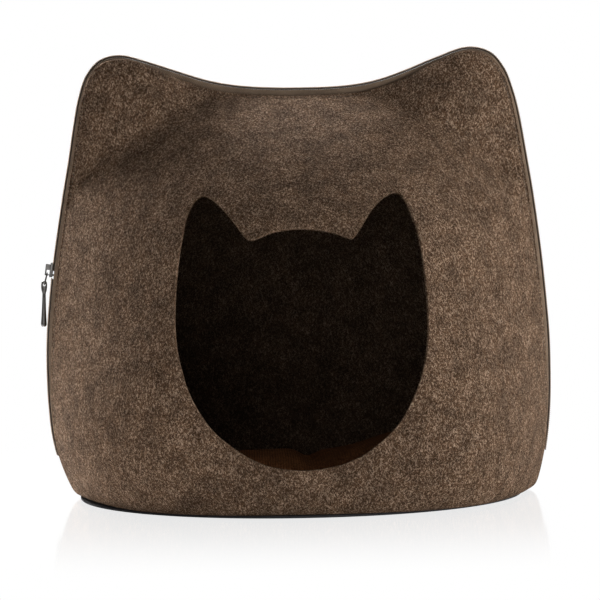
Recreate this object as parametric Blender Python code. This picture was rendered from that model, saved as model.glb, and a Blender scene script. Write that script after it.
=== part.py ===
"""Felt cat cave, in metres, +Z up, with its doorway towards -Y.

Two domed felt shells meet at a zip that runs over the top in the plane Y = 0. The front shell has a doorway
in the outline of a cat's head, and the rear shell is plain. Both are flat underneath, where a thin base cloth
carries them. A filled cushion lies inside. The origin is on the floor, under the middle of the zip.

Each shell is one sheet, laid out round a centre line parallel to Y. A direction is the angle of a ray from
that centre, 0 towards +X and 90 upwards. Along a ray the sheet runs from its edge beside the zip inwards,
and its depth in front of (or behind) the zip plane grows towards the middle of the face.
"""

from math import cos, pi, radians, sin, tau

import bmesh
import bpy
import numpy as np
from mathutils import Vector

MM = 0.001

# Shells
CENTRE_HEIGHT = 165 * MM
FRONT_DEPTH = 158 * MM
REAR_DEPTH = 160 * MM
FELT_THICKNESS = 3.2 * MM
FELT_UNDERSIDE = 2.3 * MM
FLOOR_BLEND = 8 * MM
FRONT_FULLNESS = 2.0
REAR_FULLNESS = 2.3
SIDE_FULLNESS = 0.35
FLOOR_FULLNESS = 7.1
FLOOR_FULLNESS_POWER = 4.15
EAR_LEAN = 0.42
EAR_REACH = 120 * MM
EAR_SHARPNESS = 3
HEAD_HALF_WIDTH = 230 * MM
HEAD_HALF_HEIGHT = 192 * MM
HEAD_SQUARENESS = 2.02
HEAD_BLEND = 12 * MM
SEAM_HALF_GAP = 0.4 * MM
POLE_RADIUS = 30 * MM
DOORWAY_CENTRE_HEIGHT = 120 * MM

# Zip
COIL_THICKNESS = 2.1 * MM
COIL_HALF_WIDTH = 2.9 * MM
TAPE_THICKNESS = 0.6 * MM
TAPE_BELOW_COIL = 1.3 * MM
TAPE_UNDER_FELT = 8 * MM
TAPE_HALF_GAP = 0.3 * MM
ZIP_END = -31.5
ZIP_END_SPACING = 1.2
CLEARANCE = 0.35 * MM
COIL_TOP = COIL_THICKNESS - TAPE_BELOW_COIL + CLEARANCE
TAPE_CLEARANCE = 0.75 * MM

# Slider and pull
SLIDER_HEIGHT = 199 * MM
SLIDER_LENGTH = 12.5 * MM
SLIDER_WIDTH = 8.4 * MM
SLIDER_INNER_WIDTH = 5.8 * MM
PLATE_THICKNESS = 1.1 * MM
NECK_LENGTH = 2.0 * MM
NECK_HALF_WIDTH = 0.6 * MM
NECK_INSET = 1.0 * MM
NECK_SPACING = 1.4
NECK_GAP = 0.6
NECK_SPREAD = 1.35 * MM
NECK_SPREAD_TURN = 2.1
BRIDGE_HEIGHT = 4.2 * MM
BRIDGE_WIDTH = 2.2 * MM
PLATE_TAPER = 0.8
BRIDGE_BAR = 1.2 * MM
BRIDGE_SETBACK = 1.5 * MM
LINK_WIRE = 1.0 * MM
LINK_LENGTH = 10.5 * MM
LINK_WIDTH = 5.6 * MM
LINK_LEAN = 2.9 * MM
LINK_SQUARENESS = 0.8
LINK_STATIONS = 24
WIRE_SIDES = 8
PULL_SIDES = 12
PULL_LEAN = 1.2 * MM
EYE_RADIUS = 1.15 * MM
EYE_DROP = 3.4 * MM
EYE_SIDES = 16
EYE_CUTTER_LENGTH = 10 * MM

# Base cloth and cushion
BASE_THICKNESS = 2.0 * MM
BASE_HALF_WIDTH = 193 * MM
BASE_HALF_DEPTH = 150 * MM
BASE_SQUARENESS = 2.05
CUSHION_HALF_WIDTH = 178 * MM
CUSHION_HALF_DEPTH = 130 * MM
CUSHION_THICKNESS = 31 * MM
CUSHION_SQUARENESS = 2.2
CUSHION_SIDE_SHARE = 0.36
CUSHION_CROWN = 3.2
CUSHION_SHOULDER = 0.55
CUSHION_UNDERSIDE = 8
CUSHION_SLOPE = 0.065
CREASE_X = 8 * MM
CREASE_DEPTH = 8 * MM
CREASE_HALF_WIDTH = 10 * MM
CLIMB_START = 22 * MM
CLIMB_WIDTH = 115 * MM
CLIMB_HEIGHT = 31 * MM

STATIONS = 72
SHEET_ROWS = 9
EAR_RISE, EAR_RISE_SPREAD, EAR_CROWDING = 58, 9, 2.2
CORNER_RISE, CORNER_RISE_SPREAD, CORNER_CROWDING = -38, 8, 0.6
CUSHION_STATIONS = 25
CUSHION_SPANS = 10
BASE_STATIONS = 64
CURVE_STEPS = 24
FINE_STEPS = 3601
LEFT_SIDE_START, LEFT_SIDE_END = 140, 215
NORMAL_TURN = 0.05
NORMAL_STEP = 0.2 * MM
ZIP_TURN = 0.2
SHARP_ANGLE = radians(40)

# The zip line from under the floor, round each side, to the valley between the ears, in mm. The stretch
# below the floor only shapes the corners: the sheet is flattened there.
# (right half width, right height, left half width, left height)
ZIP_LINE = (
    (0.0, -58.0, 0.0, -58.0),
    (70.0, -57.0, 70.0, -56.0),
    (128.0, -51.0, 125.0, -47.0),
    (170.0, -38.0, 163.0, -33.0),
    (195.0, -18.0, 188.0, -14.0),
    (207.0, 5.0, 201.5, 8.0),
    (213.2, 30.0, 211.0, 32.0),
    (216.8, 54.0, 216.6, 56.0),
    (218.7, 80.0, 219.0, 82.0),
    (219.0, 108.0, 219.8, 108.0),
    (218.4, 136.0, 219.4, 136.0),
    (216.2, 166.0, 217.0, 166.0),
    (213.0, 200.0, 213.0, 200.0),
    (209.4, 231.0, 208.2, 231.0),
    (205.2, 262.0, 203.0, 262.0),
    (200.2, 293.0, 197.3, 293.0),
    (194.4, 327.0, 191.6, 327.0),
    (189.0, 349.0, 187.0, 349.0),
    (181.6, 368.0, 180.2, 367.0),
    (169.0, 382.2, 168.0, 380.0),
    (149.0, 386.2, 149.0, 383.4),
    (124.0, 378.2, 124.0, 376.4),
    (99.5, 368.5, 99.5, 368.2),
    (79.0, 361.2, 79.0, 361.6),
    (60.0, 356.6, 60.0, 357.4),
    (40.0, 354.2, 40.0, 354.9),
    (20.0, 353.4, 20.0, 353.7),
    (0.0, 353.3, 0.0, 353.3),
)

# How the felt's edge lies beside the zip, by the rise of its ray, from -90 straight down to 90 straight up.
# (rise in degrees, felt edge's inset from the zip line in mm, felt edge's path from the zip line in mm)
RIM = (
    (-90.0, 0.0, 0.0),
    (-37.0, 0.0, 0.0),
    (-31.5, 0.6, 7.0),
    (-22.0, 2.2, 8.4),
    (-8.0, 3.5, 9.0),
    (2.0, 3.7, 9.0),
    (40.0, 3.7, 9.0),
    (50.0, 2.8, 9.0),
    (57.0, 3.6, 9.0),
    (64.0, 7.4, 9.0),
    (70.0, 7.2, 9.0),
    (80.0, 5.8, 9.0),
    (90.0, 5.6, 9.0),
)

# The doorway, a cat's head with two ears, from its lowest point round each side to its highest point in the
# middle, in mm. (right half width, right height, left half width, left height)
DOORWAY = (
    (0.0, 39.7, 0.0, 39.7),
    (26.5, 43.3, 25.2, 42.7),
    (39.5, 48.0, 38.1, 47.3),
    (52.6, 55.0, 52.0, 55.1),
    (75.0, 74.6, 74.2, 73.7),
    (89.8, 100.2, 91.0, 100.2),
    (98.0, 123.0, 99.0, 124.0),
    (101.8, 142.0, 102.8, 142.1),
    (103.0, 161.0, 104.1, 163.0),
    (102.4, 183.1, 103.2, 186.6),
    (100.1, 209.0, 100.4, 212.4),
    (96.7, 230.0, 96.5, 233.0),
    (93.2, 241.5, 94.1, 245.0),
    (88.3, 255.0, 89.2, 256.0),
    (84.6, 261.0, 84.4, 261.2),
    (79.9, 263.2, 79.2, 263.0),
    (73.6, 261.6, 73.6, 260.8),
    (64.4, 255.1, 66.4, 254.7),
    (53.0, 242.4, 54.5, 240.8),
    (46.4, 231.0, 46.6, 230.0),
    (42.2, 226.8, 41.3, 226.6),
    (36.5, 227.8, 35.5, 227.9),
    (23.6, 232.3, 21.8, 233.0),
    (0.0, 235.3, 0.0, 235.3),
)

# The pull's thickness along its length, with the eye at the top.
# (distance from the top, half width across the front, half width from front to back), in mm
PULL_SECTIONS = (
    (0.0, 1.2, 0.7),
    (0.7, 2.1, 0.9),
    (2.2, 2.5, 1.0),
    (5.0, 2.6, 1.0),
    (8.0, 2.3, 1.0),
    (10.5, 1.5, 1.1),
    (13.0, 1.2, 1.2),
    (24.0, 1.55, 1.55),
    (34.0, 2.0, 2.0),
    (37.5, 2.3, 2.3),
    (39.3, 1.8, 1.8),
    (40.0, 0.9, 0.9),
)

# (red, green, blue, roughness, metallic)
FELT_COLOUR = (0.130, 0.092, 0.064, 0.95, 0.0)
TAPE_COLOUR = (0.120, 0.085, 0.060, 0.85, 0.0)
COIL_COLOUR = (0.045, 0.034, 0.027, 0.45, 0.0)
METAL_COLOUR = (0.200, 0.200, 0.210, 0.28, 1.0)
BASE_COLOUR = (0.012, 0.012, 0.015, 0.80, 0.0)
PLUSH_COLOUR = (0.165, 0.080, 0.040, 0.90, 0.0)


def smooth_max(first, second, blend):
    """The larger value, with the crossing rounded over the blend width."""
    share = np.maximum(blend - np.abs(first - second), 0) / blend
    return np.maximum(first, second) + share * share * blend / 4


def smooth_min(first, second, blend):
    """The smaller value, with the crossing rounded over the blend width."""
    return -smooth_max(-first, -second, blend)


def smooth_step(value):
    """0 below 0, 1 above 1, with a soft start and end between them."""
    share = np.clip(value, 0, 1)
    return share * share * (3 - 2 * share)


def bump(value):
    """1 at 0, falling softly to 0 on both sides within about 2."""
    return np.exp(-(value**2))


def from_table(rows, column, value):
    """A column of a table read at a value of its first column, with a soft change between rows."""
    table = np.array(rows, float)
    start = np.clip(np.searchsorted(table[:, 0], value, side="right") - 1, 0, len(table) - 2)
    share = (value - table[start, 0]) / (table[start + 1, 0] - table[start, 0])
    share = smooth_step(share)
    return table[start, column] * (1 - share) + table[start + 1, column] * share


def closed_curve(points):
    """A smooth closed curve through the points, as an array of (x, z)."""
    corners = np.array(points, float)
    share = np.linspace(0, 1, CURVE_STEPS, endpoint=False)[:, None]
    spans = []
    for i in range(len(corners)):
        before, start, end, after = (corners[(i + k) % len(corners)] for k in (-1, 0, 1, 2))
        linear = (end - before) * share
        square = (2 * before - 5 * start + 4 * end - after) * share**2
        cube = (3 * start - before - 3 * end + after) * share**3
        spans.append(0.5 * (2 * start + linear + square + cube))
    return np.concatenate(spans)


def both_sides(rows):
    """A closed outline in metres from a table of its right side and left side, lowest point first."""
    table = np.array(rows) * MM
    right = table[:, 0:2]
    left = table[-2:0:-1, 2:4] * (-1, 1)
    return np.concatenate([right, left])


def polar_table(curve, centre_height):
    """The curve as directions in degrees and distances from a centre at X = 0, ready to interpolate."""
    rise = curve[:, 1] - centre_height
    direction = np.degrees(np.arctan2(rise, curve[:, 0]))
    order = np.argsort(direction)
    direction, distance = direction[order], np.hypot(curve[:, 0], rise)[order]
    direction = np.concatenate([direction - 360, direction, direction + 360])
    return direction, np.tile(distance, 3)


ZIP_POLAR = polar_table(closed_curve(both_sides(ZIP_LINE)), CENTRE_HEIGHT)
DOORWAY_POLAR = polar_table(closed_curve(both_sides(DOORWAY)), DOORWAY_CENTRE_HEIGHT)


def flattened(height):
    """A height kept above the felt's flat underside, with a soft turn into it."""
    return smooth_max(height, np.full_like(height, FELT_UNDERSIDE), FLOOR_BLEND)


def rise_of(direction):
    """A direction's angle above or below the horizontal, in degrees, the same on both sides."""
    return np.degrees(np.arcsin(np.sin(np.radians(direction))))


def zip_radius(direction):
    """Distance of the zip line from the centre."""
    return np.interp(direction, *ZIP_POLAR)


def head_radius(direction):
    """Distance of the rounded head's outline from the centre. It leaves out the ears."""
    across = np.abs(np.cos(np.radians(direction))) / HEAD_HALF_WIDTH
    up = np.maximum(np.sin(np.radians(direction)), 0) / HEAD_HALF_HEIGHT
    return (across**HEAD_SQUARENESS + up**HEAD_SQUARENESS) ** (-1 / HEAD_SQUARENESS)


def fullness_of(direction, rear):
    """How full the dome is along a ray: a soft curve at the top and a steep wall towards the floor."""
    fall = 1 - np.sin(np.radians(direction))
    top = REAR_FULLNESS if rear else FRONT_FULLNESS
    return top + SIDE_FULLNESS * fall + FLOOR_FULLNESS * (fall / 2) ** FLOOR_FULLNESS_POWER


def felt_edge(direction):
    """Distance of the felt's edge from the centre, and its depth off the zip plane."""
    inset = from_table(RIM, 1, rise_of(direction)) * MM
    path = from_table(RIM, 2, rise_of(direction)) * MM
    depth = np.sqrt(np.maximum(path**2 - inset**2, 0)) + SEAM_HALF_GAP
    return zip_radius(direction) - inset, depth


def doorway_end(direction):
    """The doorway's point for a ray, as a direction and distance from the centre.

    It lies where the line to the ray's edge, drawn from a lower centre, crosses the doorway. From there both
    sides of each ear are seen.
    """
    edge, _ = felt_edge(direction)
    x = edge * np.cos(np.radians(direction))
    z = CENTRE_HEIGHT - DOORWAY_CENTRE_HEIGHT + edge * np.sin(np.radians(direction))
    sight = np.degrees(np.arctan2(z, x))
    reach = np.interp(sight, *DOORWAY_POLAR)
    x = reach * np.cos(np.radians(sight))
    z = DOORWAY_CENTRE_HEIGHT - CENTRE_HEIGHT + reach * np.sin(np.radians(sight))
    turned = (np.degrees(np.arctan2(z, x)) - direction + 180) % 360 - 180
    return direction + turned, np.hypot(x, z)


def sheet_depth(direction, distance, rear):
    """Depth of a shell's outer face off the zip plane, at a distance from the centre along a ray."""
    edge, edge_depth = felt_edge(direction)
    full_depth = REAR_DEPTH if rear else FRONT_DEPTH
    head = smooth_min(edge, head_radius(direction), HEAD_BLEND)
    dome = (full_depth - edge_depth) * (1 - (distance / head) ** fullness_of(direction, rear))
    inside = np.maximum(edge - distance, 0)
    ear = EAR_LEAN * inside / (1 + inside / EAR_REACH)
    return edge_depth + (np.maximum(dome, 0) ** EAR_SHARPNESS + ear**EAR_SHARPNESS) ** (1 / EAR_SHARPNESS)


def outer_point(direction, distance, rear):
    """A point of a shell's outer face."""
    depth = sheet_depth(direction, distance, rear)
    x = distance * np.cos(np.radians(direction))
    z = flattened(CENTRE_HEIGHT + distance * np.sin(np.radians(direction)))
    return np.stack([x, depth if rear else -depth, z], -1)


def outward(direction, distance, rear):
    """The outer face's unit normal, from short steps along and across the ray."""
    turn, step = NORMAL_TURN, NORMAL_STEP
    across = outer_point(direction + turn, distance, rear) - outer_point(direction - turn, distance, rear)
    along = outer_point(direction, distance - step, rear) - outer_point(direction, distance + step, rear)
    normal = np.cross(along, across) if rear else np.cross(across, along)
    return normal / np.linalg.norm(normal, axis=-1, keepdims=True)


def inner_point(direction, distance, rear, below=FELT_THICKNESS):
    """A point at a depth below a shell's outer face, kept on its own side of the seam."""
    point = outer_point(direction, distance, rear) - below * outward(direction, distance, rear)
    side = 1 if rear else -1
    point[..., 1] = side * np.maximum(side * point[..., 1], SEAM_HALF_GAP)
    return point


def station_directions():
    """Directions of the rays, closer together round the ears and the lower corners."""
    fine = np.linspace(-90, 270, FINE_STEPS)
    at_ears = EAR_CROWDING * bump((rise_of(fine) - EAR_RISE) / EAR_RISE_SPREAD)
    at_corners = CORNER_CROWDING * bump((rise_of(fine) - CORNER_RISE) / CORNER_RISE_SPREAD)
    crowding = 1 + at_ears + at_corners
    travelled = np.concatenate([[0], np.cumsum((crowding[1:] + crowding[:-1]) / 2)])
    shares = (np.arange(STATIONS) + 0.5) / STATIONS
    even = np.interp(shares * travelled[-1], travelled, fine)
    fixed = np.array([NECK_DIRECTION - NECK_SPACING, NECK_DIRECTION, NECK_DIRECTION + NECK_SPACING])
    fixed = np.append(fixed, [ZIP_END, 180 - ZIP_END])
    apart = np.abs(even[:, None] - fixed).min(axis=1) > ZIP_END_SPACING
    return np.sort(np.concatenate([even[apart], fixed]))


def colour_of(name, colour):
    """A plain material of one colour, roughness and metallic value."""
    material = bpy.data.materials.new(name)
    material.use_nodes = True
    shader = material.node_tree.nodes["Principled BSDF"]
    shader.inputs["Base Color"].default_value = (*colour[:3], 1)
    shader.inputs["Roughness"].default_value = colour[3]
    shader.inputs["Metallic"].default_value = colour[4]
    return material


def add_object(name, mesh, material):
    """An object of the mesh in the scene, shaded smooth except over sharp edges."""
    mesh.shade_smooth()
    mesh.set_sharp_from_angle(angle=SHARP_ANGLE)
    mesh.materials.append(material)
    placed = bpy.data.objects.new(name, mesh)
    bpy.context.scene.collection.objects.link(placed)
    return placed


def mesh_of(name, points, faces):
    """A mesh whose faces all point out."""
    made = bmesh.new()
    corners = [made.verts.new(point) for point in points]
    for face in faces:
        made.faces.new([corners[i] for i in face])
    bmesh.ops.recalc_face_normals(made, faces=made.faces)
    if made.calc_volume(signed=True) < 0:
        bmesh.ops.reverse_faces(made, faces=made.faces)
    mesh = bpy.data.meshes.new(name)
    made.to_mesh(mesh)
    made.free()
    return mesh


def tube_faces(rows, columns, ring_closed, row_closed):
    """Triangles over a grid of points, numbered row by row, all with the same diagonal."""
    faces = []
    for i in range(rows if ring_closed else rows - 1):
        for j in range(columns if row_closed else columns - 1):
            after, beside = (i + 1) % rows, (j + 1) % columns
            start, end = i * columns + j, after * columns + beside
            faces.append((start, i * columns + beside, end))
            faces.append((start, end, after * columns + j))
    return faces


def shell_mesh(name, directions, rear):
    """A shell: outer face, inner face and the edges between them. The rear closes at its middle."""
    edge, _ = felt_edge(directions)
    if rear:
        turned, inner_end = directions, np.full_like(edge, POLE_RADIUS)
    else:
        turned, inner_end = doorway_end(directions)
    first = TAPE_UNDER_FELT / 2
    shares = np.linspace(0, 1, SHEET_ROWS)
    rows = []
    for i, direction in enumerate(directions):
        start = edge[i] - first
        distances = np.append(edge[i], start - (start - inner_end[i]) * shares)
        along = np.append(direction, direction + (turned[i] - direction) * shares)
        outer = outer_point(along, distances, rear)
        inner = inner_point(along, distances, rear)
        rows.append(np.concatenate([outer, inner[::-1]]))
    width = len(rows[0])
    points = [tuple(point) for row in rows for point in row]
    if not rear:
        return mesh_of(name, points, tube_faces(len(rows), width, True, True))
    half = width // 2
    faces = []
    for face in tube_faces(len(rows), width, True, True):
        if {corner % width for corner in face} != {half - 1, half}:
            faces.append(face)
    points.append((0, REAR_DEPTH, CENTRE_HEIGHT))
    points.append((0, REAR_DEPTH - FELT_THICKNESS, CENTRE_HEIGHT))
    for i in range(len(rows)):
        after = (i + 1) % len(rows)
        faces.append((i * width + half - 1, after * width + half - 1, len(points) - 2))
        faces.append((after * width + half, i * width + half, len(points) - 1))
    return mesh_of(name, points, faces)


def zip_point(direction):
    """The zip line's point on a ray, as (x, z)."""
    radius = zip_radius(direction)
    x = radius * np.cos(np.radians(direction))
    z = flattened(CENTRE_HEIGHT + radius * np.sin(np.radians(direction)))
    return np.stack([x, z], -1)


def zip_outward(direction):
    """The zip line's outward unit normal in its own plane, as (x, z)."""
    step = zip_point(direction + ZIP_TURN) - zip_point(direction - ZIP_TURN)
    normal = np.stack([step[..., 1], -step[..., 0]], -1)
    return normal / np.linalg.norm(normal, axis=-1, keepdims=True)


def off_zip(direction, height, y):
    """A point at a height above the zip line and at a place across it."""
    x, z = zip_point(direction) + height * zip_outward(direction)
    return (x, y, z)


def strip_mesh(name, sections):
    """A long solid through its cross-sections, with flat ends."""
    width = len(sections[0])
    points = [point for section in sections for point in section]
    faces = tube_faces(len(sections), width, False, True)
    faces.append(tuple(range(width)))
    faces.append(tuple((len(sections) - 1) * width + i for i in range(width)))
    return mesh_of(name, points, faces)


def unit(vector):
    """The vector at a length of one."""
    return vector / np.linalg.norm(vector)


def offset_line(line, along, depth):
    """The line moved sideways to a depth under it, square to the direction along the zip."""
    across = [unit(np.cross(along, line[i + 1] - line[i])) for i in range(len(line) - 1)]
    across = [across[0], *across, across[-1]]
    moved = []
    for i, point in enumerate(line):
        before, after = across[i], across[i + 1]
        moved.append(point + depth * (before + after) / (1 + before.dot(after)))
    return moved


def tape_mesh(name, directions, rear):
    """One side of the zip tape: flat under the coil, then down to the felt's edge and on under the felt."""
    side = 1 if rear else -1
    sections = []
    for direction in directions:
        edge, _ = felt_edge(direction)
        gap = TAPE_HALF_GAP + spread_at_slider(direction)
        under = FELT_THICKNESS + TAPE_CLEARANCE
        beside = COIL_HALF_WIDTH + CLEARANCE
        top = [
            inner_point(direction, edge - TAPE_UNDER_FELT / 2, rear, under),
            inner_point(direction, edge, rear, under),
            np.array(off_zip(direction, -TAPE_BELOW_COIL, side * beside)),
            np.array(off_zip(direction, -TAPE_BELOW_COIL, side * gap)),
        ]
        out_x, out_z = zip_outward(direction)
        along = np.array((side * out_z, 0, -side * out_x))
        bottom = offset_line(top, along, TAPE_THICKNESS)
        sections.append([tuple(point) for point in top + bottom[::-1]])
    return strip_mesh(name, sections)


def coil_mesh(name, directions):
    """The closed coils of the zip as one flat bar."""
    bottom = COIL_TOP - COIL_THICKNESS
    wide = COIL_HALF_WIDTH
    sections = []
    for direction in directions:
        corners = ((bottom, -wide), (COIL_TOP, -wide), (COIL_TOP, wide), (bottom, wide))
        sections.append([off_zip(direction, height, y) for height, y in corners])
    return strip_mesh(name, sections)


def direction_at_height(height):
    """The direction of the left side's zip point at a height."""
    fine = np.linspace(LEFT_SIDE_START, LEFT_SIDE_END, FINE_STEPS)
    heights = zip_point(fine)[:, 1]
    return float(np.interp(-height, -heights, fine))


SLIDER_DIRECTION = direction_at_height(SLIDER_HEIGHT)
NECK_DIRECTION = direction_at_height(SLIDER_HEIGHT - SLIDER_LENGTH / 2 + NECK_INSET + NECK_LENGTH / 2)


def spread_at_slider(direction):
    """How much further the tapes stand apart beside the slider's neck."""
    return NECK_SPREAD * bump((direction - NECK_DIRECTION) / NECK_SPREAD_TURN)


def add_box(mesh, low, high, taper):
    """A box in the mesh. The taper narrows its top across its width."""
    corners = []
    for x in (low[0], high[0]):
        for y in (low[1], high[1]):
            corners.append(mesh.verts.new((x, y, low[2])))
            corners.append(mesh.verts.new((x, y * taper, high[2])))
    bmesh.ops.convex_hull(mesh, input=corners)


def union_of(name, boxes):
    """One mesh made of boxes that overlap, joined by Boolean unions."""
    pieces = []
    for i, (low, high, taper) in enumerate(boxes):
        made = bmesh.new()
        add_box(made, low, high, taper)
        bmesh.ops.recalc_face_normals(made, faces=made.faces)
        mesh = bpy.data.meshes.new(f"{name}_{i}")
        made.to_mesh(mesh)
        made.free()
        piece = bpy.data.objects.new(f"{name}_{i}", mesh)
        bpy.context.scene.collection.objects.link(piece)
        pieces.append(piece)
    body = pieces[0]
    for other in pieces[1:]:
        join = body.modifiers.new(other.name, "BOOLEAN")
        join.operation = "UNION"
        join.object = other
    joined = applied_mesh(body)
    for piece in pieces:
        bpy.data.objects.remove(piece)
    return joined


def applied_mesh(placed):
    """The object's mesh with its modifiers applied."""
    bpy.context.view_layer.update()
    graph = bpy.context.evaluated_depsgraph_get()
    return bpy.data.meshes.new_from_object(placed.evaluated_get(graph))


def slider_frame():
    """The slider's place: its point on the zip line, outward direction and direction up the zip."""
    x, z = zip_point(SLIDER_DIRECTION)
    out_x, out_z = zip_outward(SLIDER_DIRECTION)
    outwards = Vector((out_x, 0, out_z))
    upwards = Vector((-out_z, 0, out_x)) * (-1 if out_x < 0 else 1)
    return Vector((x, 0, z)), outwards, upwards


def place_on_zip(mesh):
    """Moves a mesh from the slider's own frame (X up the zip, Y across it, Z outwards) to its place."""
    origin, outwards, upwards = slider_frame()
    for vertex in mesh.vertices:
        along, across, out = vertex.co
        vertex.co = origin + upwards * along + Vector((0, across, 0)) + outwards * out


def slider_mesh():
    """The slider: a plate on each side of the zip, the neck between the tapes and the link's bridge."""
    half = SLIDER_LENGTH / 2
    outer_low = COIL_TOP + CLEARANCE
    outer_high = outer_low + PLATE_THICKNESS
    inner_high = -TAPE_BELOW_COIL - TAPE_THICKNESS - CLEARANCE
    inner_low = inner_high - PLATE_THICKNESS
    wide = SLIDER_WIDTH / 2
    inside = SLIDER_INNER_WIDTH / 2
    sunk = PLATE_THICKNESS / 4
    top = outer_high + BRIDGE_HEIGHT
    neck, narrow = NECK_HALF_WIDTH, BRIDGE_WIDTH / 2
    foot = -half + NECK_INSET
    head = half - BRIDGE_SETBACK
    boxes = (
        ((-half, -wide, outer_low), (half, wide, outer_high), PLATE_TAPER),
        ((-half, -inside, inner_low), (half, inside, inner_high), 1.0),
        ((foot, -neck, inner_high - sunk), (foot + NECK_LENGTH, neck, outer_low + sunk), 1.0),
        ((head - BRIDGE_BAR, -narrow, outer_high - sunk), (head, narrow, top), 1.0),
        ((foot, -narrow, outer_high - sunk), (foot + BRIDGE_BAR, narrow, top), 1.0),
        ((foot, -narrow, top - BRIDGE_BAR), (head, narrow, top), 1.0),
    )
    mesh = union_of("zip_slider", boxes)
    place_on_zip(mesh)
    return mesh


def link_path():
    """The link's closed path, an upright oval across the slider, and its foot, where the pull hangs."""
    origin, outwards, upwards = slider_frame()
    wire = LINK_WIRE / 2 + CLEARANCE
    under_bridge = COIL_TOP + CLEARANCE + PLATE_THICKNESS + BRIDGE_HEIGHT - BRIDGE_BAR - wire
    beside_foot = -SLIDER_LENGTH / 2 + NECK_INSET + BRIDGE_BAR + wire + CLEARANCE
    top = origin + outwards * under_bridge + upwards * beside_foot
    foot = top + Vector((-LINK_LEAN, 0, -LINK_LENGTH))
    middle = (top + foot) / 2
    half_length = (top - foot) / 2
    half_width = Vector((0, LINK_WIDTH / 2, 0))
    turns = [tau * i / LINK_STATIONS for i in range(LINK_STATIONS)]
    path = [middle + half_length * rounded(cos(turn)) + half_width * rounded(sin(turn)) for turn in turns]
    return path, foot


def rounded(value):
    """A sine or cosine pushed outwards, so that an oval gets longer straight sides."""
    return abs(value) ** LINK_SQUARENESS * (1 if value >= 0 else -1)


def link_mesh():
    """The wire link between the slider's bridge and the pull's eye."""
    path, _ = link_path()
    points = []
    for i, centre in enumerate(path):
        tangent = (path[(i + 1) % len(path)] - path[i - 1]).normalized()
        flat = tangent.cross(Vector((-1, 0, 0))).normalized()
        for k in range(WIRE_SIDES):
            turn = tau * k / WIRE_SIDES
            spoke = flat * cos(turn) + flat.cross(tangent) * sin(turn)
            points.append(tuple(centre + spoke * LINK_WIRE / 2))
    return mesh_of("zip_link", points, tube_faces(len(path), WIRE_SIDES, True, True))


def pull_body_mesh(hang):
    """The pull without its hole, lofted through its cross-sections."""
    length = PULL_SECTIONS[-1][0]
    turns = [tau * k / PULL_SIDES for k in range(PULL_SIDES)]
    sections = []
    for drop, across, deep in PULL_SECTIONS:
        x = hang.x - PULL_LEAN * drop / length
        z = hang.z + EYE_DROP - drop * MM
        sections.append([(x + across * MM * cos(turn), deep * MM * sin(turn), z) for turn in turns])
    return strip_mesh("pull_body", sections)


def pull_mesh():
    """The pull: a flat eye that widens into a round drop, with a hole from front to back for the link."""
    _, hang = link_path()
    body = bpy.data.objects.new("pull_body", pull_body_mesh(hang))
    made = bmesh.new()
    bmesh.ops.create_cone(
        made,
        cap_ends=True,
        segments=EYE_SIDES,
        radius1=EYE_RADIUS,
        radius2=EYE_RADIUS,
        depth=EYE_CUTTER_LENGTH,
    )
    mesh = bpy.data.meshes.new("eye_hole")
    made.to_mesh(mesh)
    made.free()
    cutter = bpy.data.objects.new("eye_hole", mesh)
    cutter.rotation_euler = (pi / 2, 0, 0)
    cutter.location = hang
    for placed in (body, cutter):
        bpy.context.scene.collection.objects.link(placed)
    cut = body.modifiers.new("eye", "BOOLEAN")
    cut.operation = "DIFFERENCE"
    cut.object = cutter
    pull = applied_mesh(body)
    bpy.data.objects.remove(body)
    bpy.data.objects.remove(cutter)
    return pull


def base_mesh():
    """The base cloth, a thin oval under both shells."""
    outline = []
    for i in range(BASE_STATIONS):
        across, deep = cos(tau * i / BASE_STATIONS), sin(tau * i / BASE_STATIONS)
        reach = (abs(across) ** BASE_SQUARENESS + abs(deep) ** BASE_SQUARENESS) ** (-1 / BASE_SQUARENESS)
        outline.append((BASE_HALF_WIDTH * reach * across, BASE_HALF_DEPTH * reach * deep))
    sections = [[(x, y, z) for x, y in outline] for z in (0, BASE_THICKNESS)]
    return strip_mesh("base_cloth", sections)


def cushion_lift(x, y):
    """How the cushion's top departs from even: a slope to the back, a crease and a side that climbs."""
    crease = CREASE_DEPTH * bump((x - CREASE_X) / CREASE_HALF_WIDTH)
    climb = CLIMB_HEIGHT * smooth_step((x - CLIMB_START) / CLIMB_WIDTH)
    return climb - crease - CUSHION_SLOPE * y


def cushion_section(x):
    """The cushion's cross-section at a place along its width, over its top and back underneath."""
    bottom = FELT_UNDERSIDE + FELT_THICKNESS + CLEARANCE
    side = CUSHION_THICKNESS * CUSHION_SIDE_SHARE
    across = (abs(x) / CUSHION_HALF_WIDTH) ** CUSHION_SQUARENESS
    half_depth = CUSHION_HALF_DEPTH * (1 - across) ** (1 / CUSHION_SQUARENESS)
    turn = np.pi * np.arange(CUSHION_SPANS + 1) / CUSHION_SPANS
    y = -half_depth * np.cos(turn)
    reach = np.minimum((across + (np.abs(y) / CUSHION_HALF_DEPTH) ** CUSHION_SQUARENESS), 1)
    reach = reach ** (1 / CUSHION_SQUARENESS)
    crown = (1 - reach**CUSHION_CROWN) ** CUSHION_SHOULDER
    top = bottom + side + (CUSHION_THICKNESS - side + cushion_lift(x, y)) * crown
    under = bottom + side * (1 - np.sqrt(1 - reach**CUSHION_UNDERSIDE))
    over = [(x, y[i], top[i]) for i in range(CUSHION_SPANS + 1)]
    back = [(x, y[i], under[i]) for i in range(CUSHION_SPANS - 1, 0, -1)]
    return over + back


def cushion_mesh():
    """The filled cushion: flat underneath, with a crowned top and a drawn-in side."""
    turns = pi * (np.arange(CUSHION_STATIONS) + 1) / (CUSHION_STATIONS + 1)
    return strip_mesh("cushion", [cushion_section(-CUSHION_HALF_WIDTH * cos(turn)) for turn in turns])


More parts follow.
